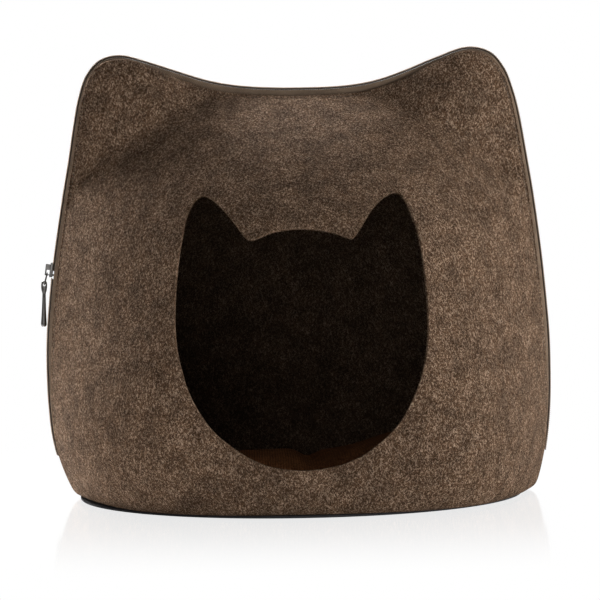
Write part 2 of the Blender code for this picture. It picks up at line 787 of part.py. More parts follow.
def build():
    """Clears the scene and builds every piece."""
    for old in list(bpy.data.objects):
        bpy.data.objects.remove(old, do_unlink=True)
    felt = colour_of("felt", FELT_COLOUR)
    tape = colour_of("zip_tape", TAPE_COLOUR)
    coil = colour_of("zip_coil", COIL_COLOUR)
    metal = colour_of("zip_metal", METAL_COLOUR)
    directions = station_directions()
    zipped = [direction for direction in directions if ZIP_END <= direction <= 180 - ZIP_END]
    above = [direction for direction in zipped if direction < NECK_DIRECTION - NECK_GAP]
    below = [direction for direction in zipped if direction > NECK_DIRECTION + NECK_GAP]
    add_object("front_shell", shell_mesh("front_shell", directions, rear=False), felt)
    add_object("rear_shell", shell_mesh("rear_shell", directions, rear=True), felt)
    add_object("zip_tape_front", tape_mesh("zip_tape_front", zipped, rear=False), tape)
    add_object("zip_tape_rear", tape_mesh("zip_tape_rear", zipped, rear=True), tape)
    add_object("zip_coil_upper", coil_mesh("zip_coil_upper", [*above, NECK_DIRECTION - NECK_GAP]), coil)
    add_object("zip_coil_lower", coil_mesh("zip_coil_lower", [NECK_DIRECTION + NECK_GAP, *below]), coil)
    add_object("zip_slider", slider_mesh(), metal)
    add_object("zip_link", link_mesh(), metal)
    add_object("zip_pull", pull_mesh(), metal)
    add_object("base_cloth", base_mesh(), colour_of("base_cloth", BASE_COLOUR))
    add_object("cushion", cushion_mesh(), colour_of("plush", PLUSH_COLOUR))


build()
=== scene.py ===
"""Looks of a felt cat cave, in metres, +Z up, with its doorway towards -Y.

Two domed felt shells are joined by a coil zip that runs over the top in the plane Y = 0. The front shell has a
doorway in the outline of a cat's head. Both stand on a thin base cloth, and a plush cushion lies inside. Every
piece follows one surface form, laid out round a centre line parallel to Y: a direction is the angle of a ray
from that centre, 0 towards +X and 90 upwards, and the sheet's depth off the zip plane grows along it inwards.
"""

import logging
from dataclasses import dataclass, field
from enum import Enum
from math import cos, pi, radians, sin, tau

import bmesh
import bpy
import numpy as np
from mathutils import Matrix, Vector, noise

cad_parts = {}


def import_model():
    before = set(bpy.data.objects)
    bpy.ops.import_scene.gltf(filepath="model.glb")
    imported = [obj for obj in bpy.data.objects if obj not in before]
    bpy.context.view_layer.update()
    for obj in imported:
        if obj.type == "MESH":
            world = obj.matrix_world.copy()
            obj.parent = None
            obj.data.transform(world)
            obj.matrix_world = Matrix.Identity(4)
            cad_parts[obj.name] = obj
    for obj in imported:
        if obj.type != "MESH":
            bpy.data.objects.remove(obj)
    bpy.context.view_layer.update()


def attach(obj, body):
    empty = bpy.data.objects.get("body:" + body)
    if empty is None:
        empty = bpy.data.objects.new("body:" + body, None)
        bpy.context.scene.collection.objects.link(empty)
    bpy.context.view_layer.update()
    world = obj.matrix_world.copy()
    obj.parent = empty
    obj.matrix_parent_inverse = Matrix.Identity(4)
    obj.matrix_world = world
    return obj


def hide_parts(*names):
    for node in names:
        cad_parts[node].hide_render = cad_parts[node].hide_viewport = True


MM = 0.001
ROOT = "root"
LOG = logging.getLogger("cat_cave")
MM_PER_M = 1000.0

CENTRE_HEIGHT = 165 * MM  # where the rays start
DOORWAY_CENTRE_HEIGHT = 120 * MM  # where the doorway's outline is laid out from
OUTLINE_STEPS = 24  # points between two rows of an outline
NORMAL_TURN = 0.05  # steps that a surface's slope is taken over, in degrees and in metres
NORMAL_STEP = 0.2 * MM
ZIP_TURN = 0.2  # step that the zip line's slope is taken over, in degrees
ZIP_STEPS = 8001  # points that the zip line is measured with
LEFT_SIDE = (140, 215, 3001)  # first and last direction of the left side, and how many are compared

# The zip line from under the floor, round each side, to the valley between the ears, in mm.
# (right half width, right height, left half width, left height)
ZIP_LINE = (
    (0.0, -58.0, 0.0, -58.0),
    (70.0, -57.0, 70.0, -56.0),
    (128.0, -51.0, 125.0, -47.0),
    (170.0, -38.0, 163.0, -33.0),
    (195.0, -18.0, 188.0, -14.0),
    (207.0, 5.0, 201.5, 8.0),
    (213.2, 30.0, 211.0, 32.0),
    (216.8, 54.0, 216.6, 56.0),
    (218.7, 80.0, 219.0, 82.0),
    (219.0, 108.0, 219.8, 108.0),
    (218.4, 136.0, 219.4, 136.0),
    (216.2, 166.0, 217.0, 166.0),
    (213.0, 200.0, 213.0, 200.0),
    (209.4, 231.0, 208.2, 231.0),
    (205.2, 262.0, 203.0, 262.0),
    (200.2, 293.0, 197.3, 293.0),
    (194.4, 327.0, 191.6, 327.0),
    (189.0, 349.0, 187.0, 349.0),
    (181.6, 368.0, 180.2, 367.0),
    (169.0, 382.2, 168.0, 380.0),
    (149.0, 386.2, 149.0, 383.4),
    (124.0, 378.2, 124.0, 376.4),
    (99.5, 368.5, 99.5, 368.2),
    (79.0, 361.2, 79.0, 361.6),
    (60.0, 356.6, 60.0, 357.4),
    (40.0, 354.2, 40.0, 354.9),
    (20.0, 353.4, 20.0, 353.7),
    (0.0, 353.3, 0.0, 353.3),
)

# How the felt's edge lies beside the zip, by the rise of its ray, from -90 straight down to 90 straight up.
# (rise in degrees, felt edge's inset from the zip line in mm, felt edge's path from the zip line in mm)
RIM = (
    (-90.0, 0.0, 0.0),
    (-37.0, 0.0, 0.0),
    (-31.5, 0.6, 7.0),
    (-22.0, 2.2, 8.4),
    (-8.0, 3.5, 9.0),
    (2.0, 3.7, 9.0),
    (40.0, 3.7, 9.0),
    (50.0, 2.8, 9.0),
    (57.0, 3.6, 9.0),
    (64.0, 7.4, 9.0),
    (70.0, 7.2, 9.0),
    (80.0, 5.8, 9.0),
    (90.0, 5.6, 9.0),
)

# The doorway from its lowest point round each side to its highest point in the middle, in mm.
# (right half width, right height, left half width, left height)
DOORWAY = (
    (0.0, 39.7, 0.0, 39.7),
    (26.5, 43.3, 25.2, 42.7),
    (39.5, 48.0, 38.1, 47.3),
    (52.6, 55.0, 52.0, 55.1),
    (75.0, 74.6, 74.2, 73.7),
    (89.8, 100.2, 91.0, 100.2),
    (98.0, 123.0, 99.0, 124.0),
    (101.8, 142.0, 102.8, 142.1),
    (103.0, 161.0, 104.1, 163.0),
    (102.4, 183.1, 103.2, 186.6),
    (100.1, 209.0, 100.4, 212.4),
    (96.7, 230.0, 96.5, 233.0),
    (93.2, 241.5, 94.1, 245.0),
    (88.3, 255.0, 89.2, 256.0),
    (84.6, 261.0, 84.4, 261.2),
    (79.9, 263.2, 79.2, 263.0),
    (73.6, 261.6, 73.6, 260.8),
    (64.4, 255.1, 66.4, 254.7),
    (53.0, 242.4, 54.5, 240.8),
    (46.4, 231.0, 46.6, 230.0),
    (42.2, 226.8, 41.3, 226.6),
    (36.5, 227.8, 35.5, 227.9),
    (23.6, 232.3, 21.8, 233.0),
    (0.0, 235.3, 0.0, 235.3),
)

# The pull's thickness along its length, with the eye at the top.
# (distance from the top, half width across the front, half width from front to back), in mm
PULL_SECTIONS = (
    (0.0, 1.2, 0.7),
    (0.7, 2.1, 0.9),
    (2.2, 2.5, 1.0),
    (5.0, 2.6, 1.0),
    (8.0, 2.3, 1.0),
    (10.5, 1.6, 1.1),
    (13.0, 1.5, 1.2),
    (24.0, 1.85, 1.55),
    (34.0, 2.35, 2.0),
    (37.5, 2.55, 2.3),
    (39.3, 2.0, 1.8),
    (40.0, 1.0, 0.9),
)


class Side(Enum):
    """The side of the zip plane that a piece lies on, as the sign of its Y."""

    FRONT = -1
    REAR = 1

    @property
    def word(self) -> str:
        """The side's name in a piece's name."""
        return self.name.lower()


# ---------------- Numbers and curves ----------------


def smooth_max(first: np.ndarray, second: np.ndarray, blend: float) -> np.ndarray:
    """The larger value, with the crossing rounded over the blend width."""
    share = np.maximum(blend - np.abs(first - second), 0) / blend
    return np.maximum(first, second) + share * share * blend / 4


def smooth_step(value: np.ndarray) -> np.ndarray:
    """0 below 0, 1 above 1, with a soft start and end between them."""
    share = np.clip(value, 0, 1)
    return share * share * (3 - 2 * share)


def bump(value: np.ndarray) -> np.ndarray:
    """1 at 0, falling softly to 0 on both sides within about 2."""
    return np.exp(-(np.asarray(value) ** 2))


def from_table(rows: tuple, column: int, value: np.ndarray) -> np.ndarray:
    """A column of a table read at a value of its first column, with a soft change between rows.

    Args:
        rows: the table, with rising values in its first column.
        column: the number of the column that is read.
        value: where in the first column it is read.

    Returns:
        The column's value, as many as there are values.
    """
    table = np.array(rows, float)
    start = np.clip(np.searchsorted(table[:, 0], value, side="right") - 1, 0, len(table) - 2)
    share = smooth_step((value - table[start, 0]) / (table[start + 1, 0] - table[start, 0]))
    return table[start, column] * (1 - share) + table[start + 1, column] * share


def smooth_curve(corners: np.ndarray, steps: int, closed: bool) -> np.ndarray:
    """A smooth curve through the points.

    Args:
        corners: the points, one a row.
        steps: how many points each span gets.
        closed: whether the last point joins the first.

    Returns:
        The curve's points, one a row.
    """
    count = len(corners)
    share = np.linspace(0, 1, steps, endpoint=False)[:, None]
    spans = []
    for i in range(count if closed else count - 1):
        if closed:
            places = [(i + k) % count for k in (-1, 0, 1, 2)]
        else:
            places = [min(max(i + k, 0), count - 1) for k in (-1, 0, 1, 2)]
        before, start, end, after = (corners[k] for k in places)
        linear = (end - before) * share
        square = (2 * before - 5 * start + 4 * end - after) * share**2
        cube = (3 * start - before - 3 * end + after) * share**3
        spans.append(0.5 * (2 * start + linear + square + cube))
    if not closed:
        spans.append(corners[-1:])
    return np.concatenate(spans)


def polar_outline(rows: tuple, centre_height: float) -> tuple[np.ndarray, np.ndarray]:
    """An outline as directions in degrees and distances from a centre at X = 0, ready to interpolate.

    Args:
        rows: the outline's right and left side in mm, lowest point first.
        centre_height: the centre's height.

    Returns:
        The directions, over three turns, and the distances.
    """
    table = np.array(rows) * MM
    corners = np.concatenate([table[:, 0:2], table[-2:0:-1, 2:4] * (-1, 1)])
    curve = smooth_curve(corners, OUTLINE_STEPS, closed=True)
    rise = curve[:, 1] - centre_height
    direction = np.degrees(np.arctan2(rise, curve[:, 0]))
    order = np.argsort(direction)
    direction, distance = direction[order], np.hypot(curve[:, 0], rise)[order]
    return np.concatenate([direction - 360, direction, direction + 360]), np.tile(distance, 3)


def ripple(points: np.ndarray, wavelength: float, offset: float) -> np.ndarray:
    """Soft unevenness at each point, from about -1 to 1.

    Args:
        points: the points, in any number of rows.
        wavelength: the distance over which it changes.
        offset: shifts the pattern, so that two pieces differ.

    Returns:
        One number for each point.
    """
    flat = points.reshape(-1, 3) / wavelength + offset
    values = [noise.noise(Vector(point)) for point in flat]
    return np.array(values).reshape(points.shape[:-1])


# ---------------- The form that every piece follows ----------------


@dataclass(frozen=True)
class CaveForm:
    """The surfaces of both shells and the line of the zip."""

    centre_height: float = CENTRE_HEIGHT
    doorway_centre_height: float = DOORWAY_CENTRE_HEIGHT
    front_depth: float = 158 * MM
    rear_depth: float = 160 * MM
    felt_thickness: float = 3.2 * MM
    felt_underside: float = 2.3 * MM
    floor_blend: float = 8 * MM
    front_fullness: float = 2.0
    rear_fullness: float = 2.3
    side_fullness: float = 0.35
    floor_fullness: float = 7.1
    floor_fullness_power: float = 4.15
    ear_lean: float = 0.42
    ear_reach: float = 120 * MM
    ear_sharpness: float = 3
    head_half_width: float = 230 * MM
    head_half_height: float = 192 * MM
    head_squareness: float = 2.02
    head_blend: float = 12 * MM
    seam_half_gap: float = 0.4 * MM
    zip_end: float = -31.5
    zip_polar: tuple = field(default_factory=lambda: polar_outline(ZIP_LINE, CENTRE_HEIGHT))
    doorway_polar: tuple = field(default_factory=lambda: polar_outline(DOORWAY, DOORWAY_CENTRE_HEIGHT))

    def flattened(self, height: np.ndarray) -> np.ndarray:
        """A height kept above the felt's flat underside, with a soft turn into it."""
        return smooth_max(height, np.full_like(height, self.felt_underside), self.floor_blend)

    def rise_of(self, direction: np.ndarray) -> np.ndarray:
        """A direction's angle above or below the horizontal, in degrees, the same on both sides."""
        return np.degrees(np.arcsin(np.sin(np.radians(direction))))

    def zip_radius(self, direction: np.ndarray) -> np.ndarray:
        """Distance of the zip line from the centre."""
        return np.interp(direction, *self.zip_polar)

    def head_radius(self, direction: np.ndarray) -> np.ndarray:
        """Distance of the rounded head's outline from the centre, without the ears.

        Args:
            direction: directions from the centre, in degrees.

        Returns:
            The distances.
        """
        across = np.abs(np.cos(np.radians(direction))) / self.head_half_width
        up = np.maximum(np.sin(np.radians(direction)), 0) / self.head_half_height
        return (across**self.head_squareness + up**self.head_squareness) ** (-1 / self.head_squareness)

    def fullness_of(self, direction: np.ndarray, side: Side) -> np.ndarray:
        """How full the dome is along a ray: a soft curve at the top, a steep wall towards the floor.

        Args:
            direction: directions from the centre, in degrees.
            side: the front or the rear.

        Returns:
            The fullness in each direction.
        """
        fall = 1 - np.sin(np.radians(direction))
        top = self.rear_fullness if side is Side.REAR else self.front_fullness
        wall = self.floor_fullness * (fall / 2) ** self.floor_fullness_power
        return top + self.side_fullness * fall + wall

    def felt_edge(self, direction: np.ndarray) -> tuple[np.ndarray, np.ndarray]:
        """Distance of the felt's edge from the centre, and its depth off the zip plane.

        Args:
            direction: directions from the centre, in degrees.

        Returns:
            The distances and the depths.
        """
        inset = from_table(RIM, 1, self.rise_of(direction)) * MM
        path = from_table(RIM, 2, self.rise_of(direction)) * MM
        depth = np.sqrt(np.maximum(path**2 - inset**2, 0)) + self.seam_half_gap
        return self.zip_radius(direction) - inset, depth

    def doorway_end(self, direction: np.ndarray) -> tuple[np.ndarray, np.ndarray]:
        """The doorway's point for a ray, as a direction and a distance from the centre.

        Args:
            direction: directions of the rays, in degrees.

        Returns:
            The directions and distances of the doorway's points.
        """
        edge, _ = self.felt_edge(direction)
        drop = self.centre_height - self.doorway_centre_height
        x = edge * np.cos(np.radians(direction))
        z = drop + edge * np.sin(np.radians(direction))
        sight = np.degrees(np.arctan2(z, x))
        reach = np.interp(sight, *self.doorway_polar)
        x = reach * np.cos(np.radians(sight))
        z = reach * np.sin(np.radians(sight)) - drop
        turned = (np.degrees(np.arctan2(z, x)) - direction + 180) % 360 - 180
        return direction + turned, np.hypot(x, z)

    def sheet_depth(self, direction: np.ndarray, distance: np.ndarray, side: Side) -> np.ndarray:
        """Depth of a shell's outer face off the zip plane, at a distance from the centre along a ray.

        Args:
            direction: directions from the centre, in degrees.
            distance: distances from the centre.
            side: the front or the rear.

        Returns:
            The depths.
        """
        edge, edge_depth = self.felt_edge(direction)
        full_depth = self.rear_depth if side is Side.REAR else self.front_depth
        head = -smooth_max(-edge, -self.head_radius(direction), self.head_blend)
        dome = (full_depth - edge_depth) * (1 - (distance / head) ** self.fullness_of(direction, side))
        inside = np.maximum(edge - distance, 0)
        ear = self.ear_lean * inside / (1 + inside / self.ear_reach)
        power = self.ear_sharpness
        return edge_depth + (np.maximum(dome, 0) ** power + ear**power) ** (1 / power)

    def outer_point(self, direction: np.ndarray, distance: np.ndarray, side: Side) -> np.ndarray:
        """A point of a shell's outer face.

        Args:
            direction: directions from the centre, in degrees.
            distance: distances from the centre.
            side: the front or the rear.

        Returns:
            The points, one for each direction and distance.
        """
        depth = self.sheet_depth(direction, distance, side)
        x = distance * np.cos(np.radians(direction))
        z = self.flattened(self.centre_height + distance * np.sin(np.radians(direction)))
        return np.stack([x, side.value * depth, z], -1)

    def outward(self, direction: np.ndarray, distance: np.ndarray, side: Side) -> np.ndarray:
        """The outer face's unit normal, from short steps along and across the ray.

        Args:
            direction: directions from the centre, in degrees.
            distance: distances from the centre.
            side: the front or the rear.

        Returns:
            Unit vectors that point away from the felt.
        """
        ahead = self.outer_point(direction + NORMAL_TURN, distance, side)
        across = ahead - self.outer_point(direction - NORMAL_TURN, distance, side)
        inwards = self.outer_point(direction, distance - NORMAL_STEP, side)
        along = inwards - self.outer_point(direction, distance + NORMAL_STEP, side)
        normal = np.cross(along, across) if side is Side.REAR else np.cross(across, along)
        return normal / np.linalg.norm(normal, axis=-1, keepdims=True)

    def below_point(
        self, direction: np.ndarray, distance: np.ndarray, side: Side, below: np.ndarray
    ) -> np.ndarray:
        """A point at a depth below a shell's outer face, kept on its own side of the seam.

        Args:
            direction: directions from the centre, in degrees.
            distance: distances from the centre.
            side: the front or the rear.
            below: how far under the outer face.

        Returns:
            The points.
        """
        point = self.outer_point(direction, distance, side)
        point = point - np.asarray(below)[..., None] * self.outward(direction, distance, side)
        point[..., 1] = side.value * np.maximum(side.value * point[..., 1], self.seam_half_gap)
        return point

    def zip_point(self, direction: np.ndarray) -> np.ndarray:
        """The zip line's point on a ray, as (x, z).

        Args:
            direction: directions from the centre, in degrees.

        Returns:
            The points on the zip line.
        """
        radius = self.zip_radius(direction)
        x = radius * np.cos(np.radians(direction))
        z = self.flattened(self.centre_height + radius * np.sin(np.radians(direction)))
        return np.stack([x, z], -1)

    def zip_outward(self, direction: np.ndarray) -> np.ndarray:
        """The zip line's outward unit normal in its own plane, as (x, z).

        Args:
            direction: directions from the centre, in degrees.

        Returns:
            The unit vectors.
        """
        step = self.zip_point(direction + ZIP_TURN) - self.zip_point(direction - ZIP_TURN)
        normal = np.stack([step[..., 1], -step[..., 0]], -1)
        return normal / np.linalg.norm(normal, axis=-1, keepdims=True)

    def off_zip(self, direction: np.ndarray, height: np.ndarray, across: np.ndarray) -> np.ndarray:
        """A point at a height above the zip line and at a place across it.

        Args:
            direction: directions from the centre, in degrees.
            height: the heights.
            across: the places across, negative in front.

        Returns:
            The points.
        """
        place = self.zip_point(direction) + np.asarray(height)[..., None] * self.zip_outward(direction)
        across = np.broadcast_to(across, place.shape[:-1])
        return np.stack([place[..., 0], across, place[..., 1]], -1)

    def zip_stations(self, start: float, end: float, spacing: float) -> tuple[np.ndarray, np.ndarray]:
        """Evenly spaced places along the zip line.

        Args:
            start: the first direction.
            end: the last direction.
            spacing: the distance between places, adjusted to fit a whole number of them.

        Returns:
            The places' directions and their lengths along the line.
        """
        fine = np.linspace(start, end, ZIP_STEPS)
        steps = np.linalg.norm(np.diff(self.zip_point(fine), axis=0), axis=1)
        travelled = np.concatenate([[0], np.cumsum(steps)])
        lengths = np.linspace(0, travelled[-1], int(round(travelled[-1] / spacing)) + 1)
        return np.interp(lengths, travelled, fine), lengths

    def direction_at_height(self, height: float) -> float:
        """The direction of the left side's zip point at a height."""
        fine = np.linspace(*LEFT_SIDE)
        return float(np.interp(-height, -self.zip_point(fine)[:, 1], fine))


# ---------------- Meshes ----------------


def grid_quads(rows: int, columns: int, ring_closed: bool, row_closed: bool) -> np.ndarray:
    """Corner numbers of a grid's quads, numbered row by row.

    Args:
        rows: how many rows the grid has.
        columns: how many points each row has.
        ring_closed: whether the last row joins the first.
        row_closed: whether each row's end joins its start.

    Returns:
        The faces, each with the places of its four corners.
    """
    i = np.arange(rows if ring_closed else rows - 1)[:, None]
    j = np.arange(columns if row_closed else columns - 1)[None, :]
    after, beside = (i + 1) % rows, (j + 1) % columns
    corners = (i * columns + j, i * columns + beside, after * columns + beside, after * columns + j)
    return np.stack(np.broadcast_arrays(*corners), -1).reshape(-1, 4)


def signed_volume(points: np.ndarray, quads: np.ndarray) -> float:
    """Six times the volume inside the quads, negative where they face inwards.

    Args:
        points: the corners' places.
        quads: each face's corner numbers.

    Returns:
        The volume, times six.
    """
    a, b, c, d = (points[quads[:, k]] for k in range(4))
    first = np.einsum("ij,ij->i", a, np.cross(b, c)).sum()
    return float(first + np.einsum("ij,ij->i", a, np.cross(c, d)).sum())


def grid_mesh(
    name: str,
    points: np.ndarray,
    ring_closed: bool,
    row_closed: bool,
    lie: tuple[np.ndarray, np.ndarray] | None = None,
) -> bpy.types.Mesh:
    """A closed mesh over a grid of points, with flat ends where the ring is open.

    Args:
        name: the mesh's name.
        points: the points, as rows by columns by 3.
        ring_closed: whether the last row joins the first.
        row_closed: whether the last column joins the first.
        lie: lengths along the rows and across the columns, kept as a UV map named lie.

    Returns:
        The mesh, with its faces pointing out.
    """
    rows, columns = points.shape[:2]
    flat = points.reshape(-1, 3)
    quads = grid_quads(rows, columns, ring_closed, row_closed)
    turned = signed_volume(flat, quads) < 0
    if turned:
        quads = quads[:, ::-1]
    faces = quads.tolist()
    if row_closed and not ring_closed:
        first = list(range(columns))
        last = [(rows - 1) * columns + k for k in range(columns)]
        faces += [first, last[::-1]] if turned else [first[::-1], last]
    mesh = bpy.data.meshes.new(name)
    mesh.from_pydata(flat.tolist(), [], faces)
    if lie is not None:
        along, across = lie
        corners = np.empty(len(mesh.loops), np.int32)
        mesh.loops.foreach_get("vertex_index", corners)
        places = np.stack([along[corners // columns], across[corners % columns]], -1)
        layer = mesh.uv_layers.new(name="lie")
        layer.data.foreach_set("uv", places.astype(np.float32).ravel())
    return mesh


def add_values(mesh: bpy.types.Mesh, name: str, values: np.ndarray) -> None:
    """Keeps one number for each point of the mesh as an attribute."""
    attribute = mesh.attributes.new(name, "FLOAT", "POINT")
    attribute.data.foreach_set("value", values.astype(np.float32).ravel())


def joined_mesh(name: str, grids: list[np.ndarray]) -> bpy.types.Mesh:
    """One mesh of several tubes, each open along its ring, closed across and capped at both ends.

    Args:
        name: the mesh's name.
        grids: each tube's points as rows by columns by 3, all wound the same way.

    Returns:
        The mesh, with its faces pointing out.
    """
    first = grid_quads(*grids[0].shape[:2], ring_closed=False, row_closed=True)
    turned = signed_volume(grids[0].reshape(-1, 3), first) < 0
    faces, start = [], 0
    for grid in grids:
        rows, columns = grid.shape[:2]
        quads = grid_quads(rows, columns, ring_closed=False, row_closed=True)
        ends = np.array([np.arange(columns)[::-1], np.arange(columns) + (rows - 1) * columns])
        if turned:
            quads, ends = quads[:, ::-1], ends[:, ::-1]
        faces += (quads + start).tolist() + (ends + start).tolist()
        start += rows * columns
    mesh = bpy.data.meshes.new(name)
    mesh.from_pydata(np.concatenate([grid.reshape(-1, 3) for grid in grids]).tolist(), [], faces)
    return mesh


def offset_line(line: list[np.ndarray], along: np.ndarray, depth: float) -> list[np.ndarray]:
    """A cross-section's lower line, everywhere as far below its upper line.

    Args:
        line: the upper line's corners, each as one point a station.
        along: the direction across the sections, one a station.
        depth: how far the lower line lies below.

    Returns:
        The lower line's corners.
    """
    across = [np.cross(along, line[k + 1] - line[k]) for k in range(len(line) - 1)]
    across = [each / np.linalg.norm(each, axis=1, keepdims=True) for each in across]
    moved = []
    for point, before, after in zip(line, [across[0], *across], [*across, across[-1]]):
        mitre = 1 + (before * after).sum(axis=1, keepdims=True)
        moved.append(point + depth * (before + after) / mitre)
    return moved


def tube_grid(
    path: np.ndarray, radius: np.ndarray, spoke: np.ndarray, sides: int, closed: bool
) -> np.ndarray:
    """The points of a tube along a path.

    Args:
        path: the path's points, one a row.
        radius: the tube's radius, one number or one a point.
        spoke: a direction that is never along the path, one or one a point.
        sides: how many sides the tube has.
        closed: whether the path's end joins its start.

    Returns:
        The points as rows along the path by sides by 3.
    """
    if closed:
        tangent = np.roll(path, -1, axis=0) - np.roll(path, 1, axis=0)
    else:
        tangent = np.gradient(path, axis=0)
    tangent /= np.linalg.norm(tangent, axis=1, keepdims=True)
    first = spoke - tangent * (spoke * tangent).sum(axis=1, keepdims=True)
    first /= np.linalg.norm(first, axis=1, keepdims=True)
    second = np.cross(tangent, first)
    turn = (np.arange(sides) * tau / sides)[None, :, None]
    radius = np.broadcast_to(radius, (len(path),))[:, None, None]
    return path[:, None] + radius * (first[:, None] * np.cos(turn) + second[:, None] * np.sin(turn))


def add_piece(
    name: str,
    mesh: bpy.types.Mesh,
    material: bpy.types.Material,
    stands_for: tuple[str, ...] = (),
) -> bpy.types.Object:
    """Places a mesh as a piece of the cave.

    Args:
        name: the piece's name.
        mesh: its mesh.
        material: its material.
        stands_for: the CAD nodes that it replaces.

    Returns:
        The piece.
    """
    mesh.shade_smooth()
    mesh.materials.clear()
    mesh.materials.append(material)
    piece = bpy.data.objects.new(name, mesh)
    bpy.context.scene.collection.objects.link(piece)
    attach(piece, ROOT)
    if stands_for:
        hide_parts(*stands_for)
    mesh.calc_loop_triangles()
    LOG.info("%s: %d triangles", name, len(mesh.loop_triangles))
    return piece


# ---------------- Node trees ----------------


class NodeTree:
    """A node tree with short calls that place a node and join it to others."""

    def __init__(self, tree: bpy.types.NodeTree) -> None:
        """Works on a tree that exists."""
        self.tree = tree

    def add(self, kind: str, **settings: object) -> bpy.types.Node:
        """Places a node of a kind with the given properties.

        Args:
            kind: the node's type.
            settings: its properties by name.

        Returns:
            The node.
        """
        node = self.tree.nodes.new(kind)
        for name, value in settings.items():
            setattr(node, name, value)
        return node

    def feed(self, socket: bpy.types.NodeSocket, value: object) -> None:
        """Sets an input to a number or colour, or joins it to another node's output.

        Args:
            socket: the input.
            value: a number, a colour or an output, or None to leave the input alone.
        """
        if isinstance(value, bpy.types.NodeSocket):
            self.tree.links.new(value, socket)
        elif value is not None:
            socket.default_value = value

    def maths(self, operation: str, first: object, second: object = None, third: object = None) -> object:
        """The result of a Math node on numbers or outputs.

        Args:
            operation: the node's operation.
            first: its first input.
            second: its second input.
            third: its third input.

        Returns:
            The result.
        """
        node = self.add("ShaderNodeMath", operation=operation)
        for socket, value in zip(node.inputs, (first, second, third)):
            self.feed(socket, value)
        return node.outputs[0]

    def ranged(self, value: object, low: float, high: float, to_low: float = 0, to_high: float = 1) -> object:
        """A value brought from one range softly to another.

        Args:
            value: the value.
            low: the start of its range.
            high: the end of its range.
            to_low: what low gives.
            to_high: what high gives.

        Returns:
            The result.
        """
        node = self.add("ShaderNodeMapRange", interpolation_type="SMOOTHSTEP")
        for socket, number in zip(node.inputs, (value, low, high, to_low, to_high)):
            self.feed(socket, number)
        return node.outputs[0]

    def mixed(self, share: object, first: object, second: object, blend: str = "MIX") -> object:
        """A mix of two colours.

        Args:
            share: the second colour's share.
            first: the first colour.
            second: the second colour.
            blend: how they are blended.

        Returns:
            The mixed colour.
        """
        node = self.add("ShaderNodeMix", data_type="RGBA", blend_type=blend)
        self.feed(node.inputs[0], share)
        self.feed(node.inputs[6], first)
        self.feed(node.inputs[7], second)
        return node.outputs[2]

    def noise(
        self, place: object, scale: object, detail: float = 2, roughness: float = 0.5, distortion: float = 0
    ) -> object:
        """The value of a noise texture at a place.

        Args:
            place: the place.
            scale: how fine it is.
            detail: how many finer layers it has.
            roughness: how strong those are.
            distortion: how much it is twisted.

        Returns:
            The noise's value.
        """
        node = self.add("ShaderNodeTexNoise")
        self.feed(node.inputs["Vector"], place)
        self.feed(node.inputs["Scale"], scale)
        self.feed(node.inputs["Detail"], detail)
        self.feed(node.inputs["Roughness"], roughness)
        self.feed(node.inputs["Distortion"], distortion)
        return node.outputs["Fac"]

    def stretched(self, place: object, scale: tuple[float, float, float], turn: tuple = (0, 0, 0)) -> object:
        """A place scaled and turned about the origin.

        Args:
            place: the place.
            scale: the scale on each axis.
            turn: the turn about each axis, in radians.

        Returns:
            The new place.
        """
        node = self.add("ShaderNodeMapping")
        self.feed(node.inputs["Vector"], place)
        node.inputs["Scale"].default_value = scale
        node.inputs["Rotation"].default_value = turn
        return node.outputs[0]

    def turned(self, place: object, turn: tuple[float, float, float]) -> object:
        """A place turned about the origin, with the given turns round X, Y and Z."""
        return self.stretched(place, (1.0, 1.0, 1.0), turn)

    def place(self) -> object:
        """The point of the surface in the cave's own frame."""
        return self.add("ShaderNodeTexCoord").outputs["Object"]

    def grouped(self, group: bpy.types.NodeTree, **inputs: object) -> bpy.types.Node:
        """Places a node group, with its inputs given by name.

        Args:
            group: the group.
            inputs: its inputs by name, with _ for a space.

        Returns:
            The group's node.
        """
        node = self.add("ShaderNodeGroup", node_tree=group)
        for name, value in inputs.items():
            self.feed(node.inputs[name.replace("_", " ")], value)
        return node

    def relief(self, height: object, distance: float) -> object:
        """A normal from a height.

        Args:
            height: the height.
            distance: how far a height of 1 stands out, in metres.

        Returns:
            The normal.
        """
        node = self.add("ShaderNodeBump")
        self.feed(node.inputs["Strength"], 1.0)
        self.feed(node.inputs["Distance"], distance)
        self.feed(node.inputs["Height"], height)
        return node.outputs[0]


class Group(NodeTree):
    """A shader node group that is being built."""

    def __init__(self, name: str, inputs: dict[str, float | str], outputs: tuple[str, ...]) -> None:
        """Makes the group and its sockets.

        Args:
            name: the group's name.
            inputs: each input's name, with a number, or "vector" for a place.
            outputs: the names of the number outputs.
        """
        tree = bpy.data.node_groups.new(name, "ShaderNodeTree")
        for label, value in inputs.items():
            kind = "NodeSocketVector" if value == "vector" else "NodeSocketFloat"
            socket = tree.interface.new_socket(name=label, in_out="INPUT", socket_type=kind)
            if value != "vector":
                socket.default_value = value
        for label in outputs:
            tree.interface.new_socket(name=label, in_out="OUTPUT", socket_type="NodeSocketFloat")
        super().__init__(tree)
        self.given = self.add("NodeGroupInput").outputs
        self.results = self.add("NodeGroupOutput").inputs

    def give(self, **values: object) -> bpy.types.NodeTree:
        """Joins the outputs by name and returns the finished group.

        Args:
            values: the group's outputs by name.

        Returns:
            The group.
        """
        for name, value in values.items():
            self.feed(self.results[name], value)
        return self.tree


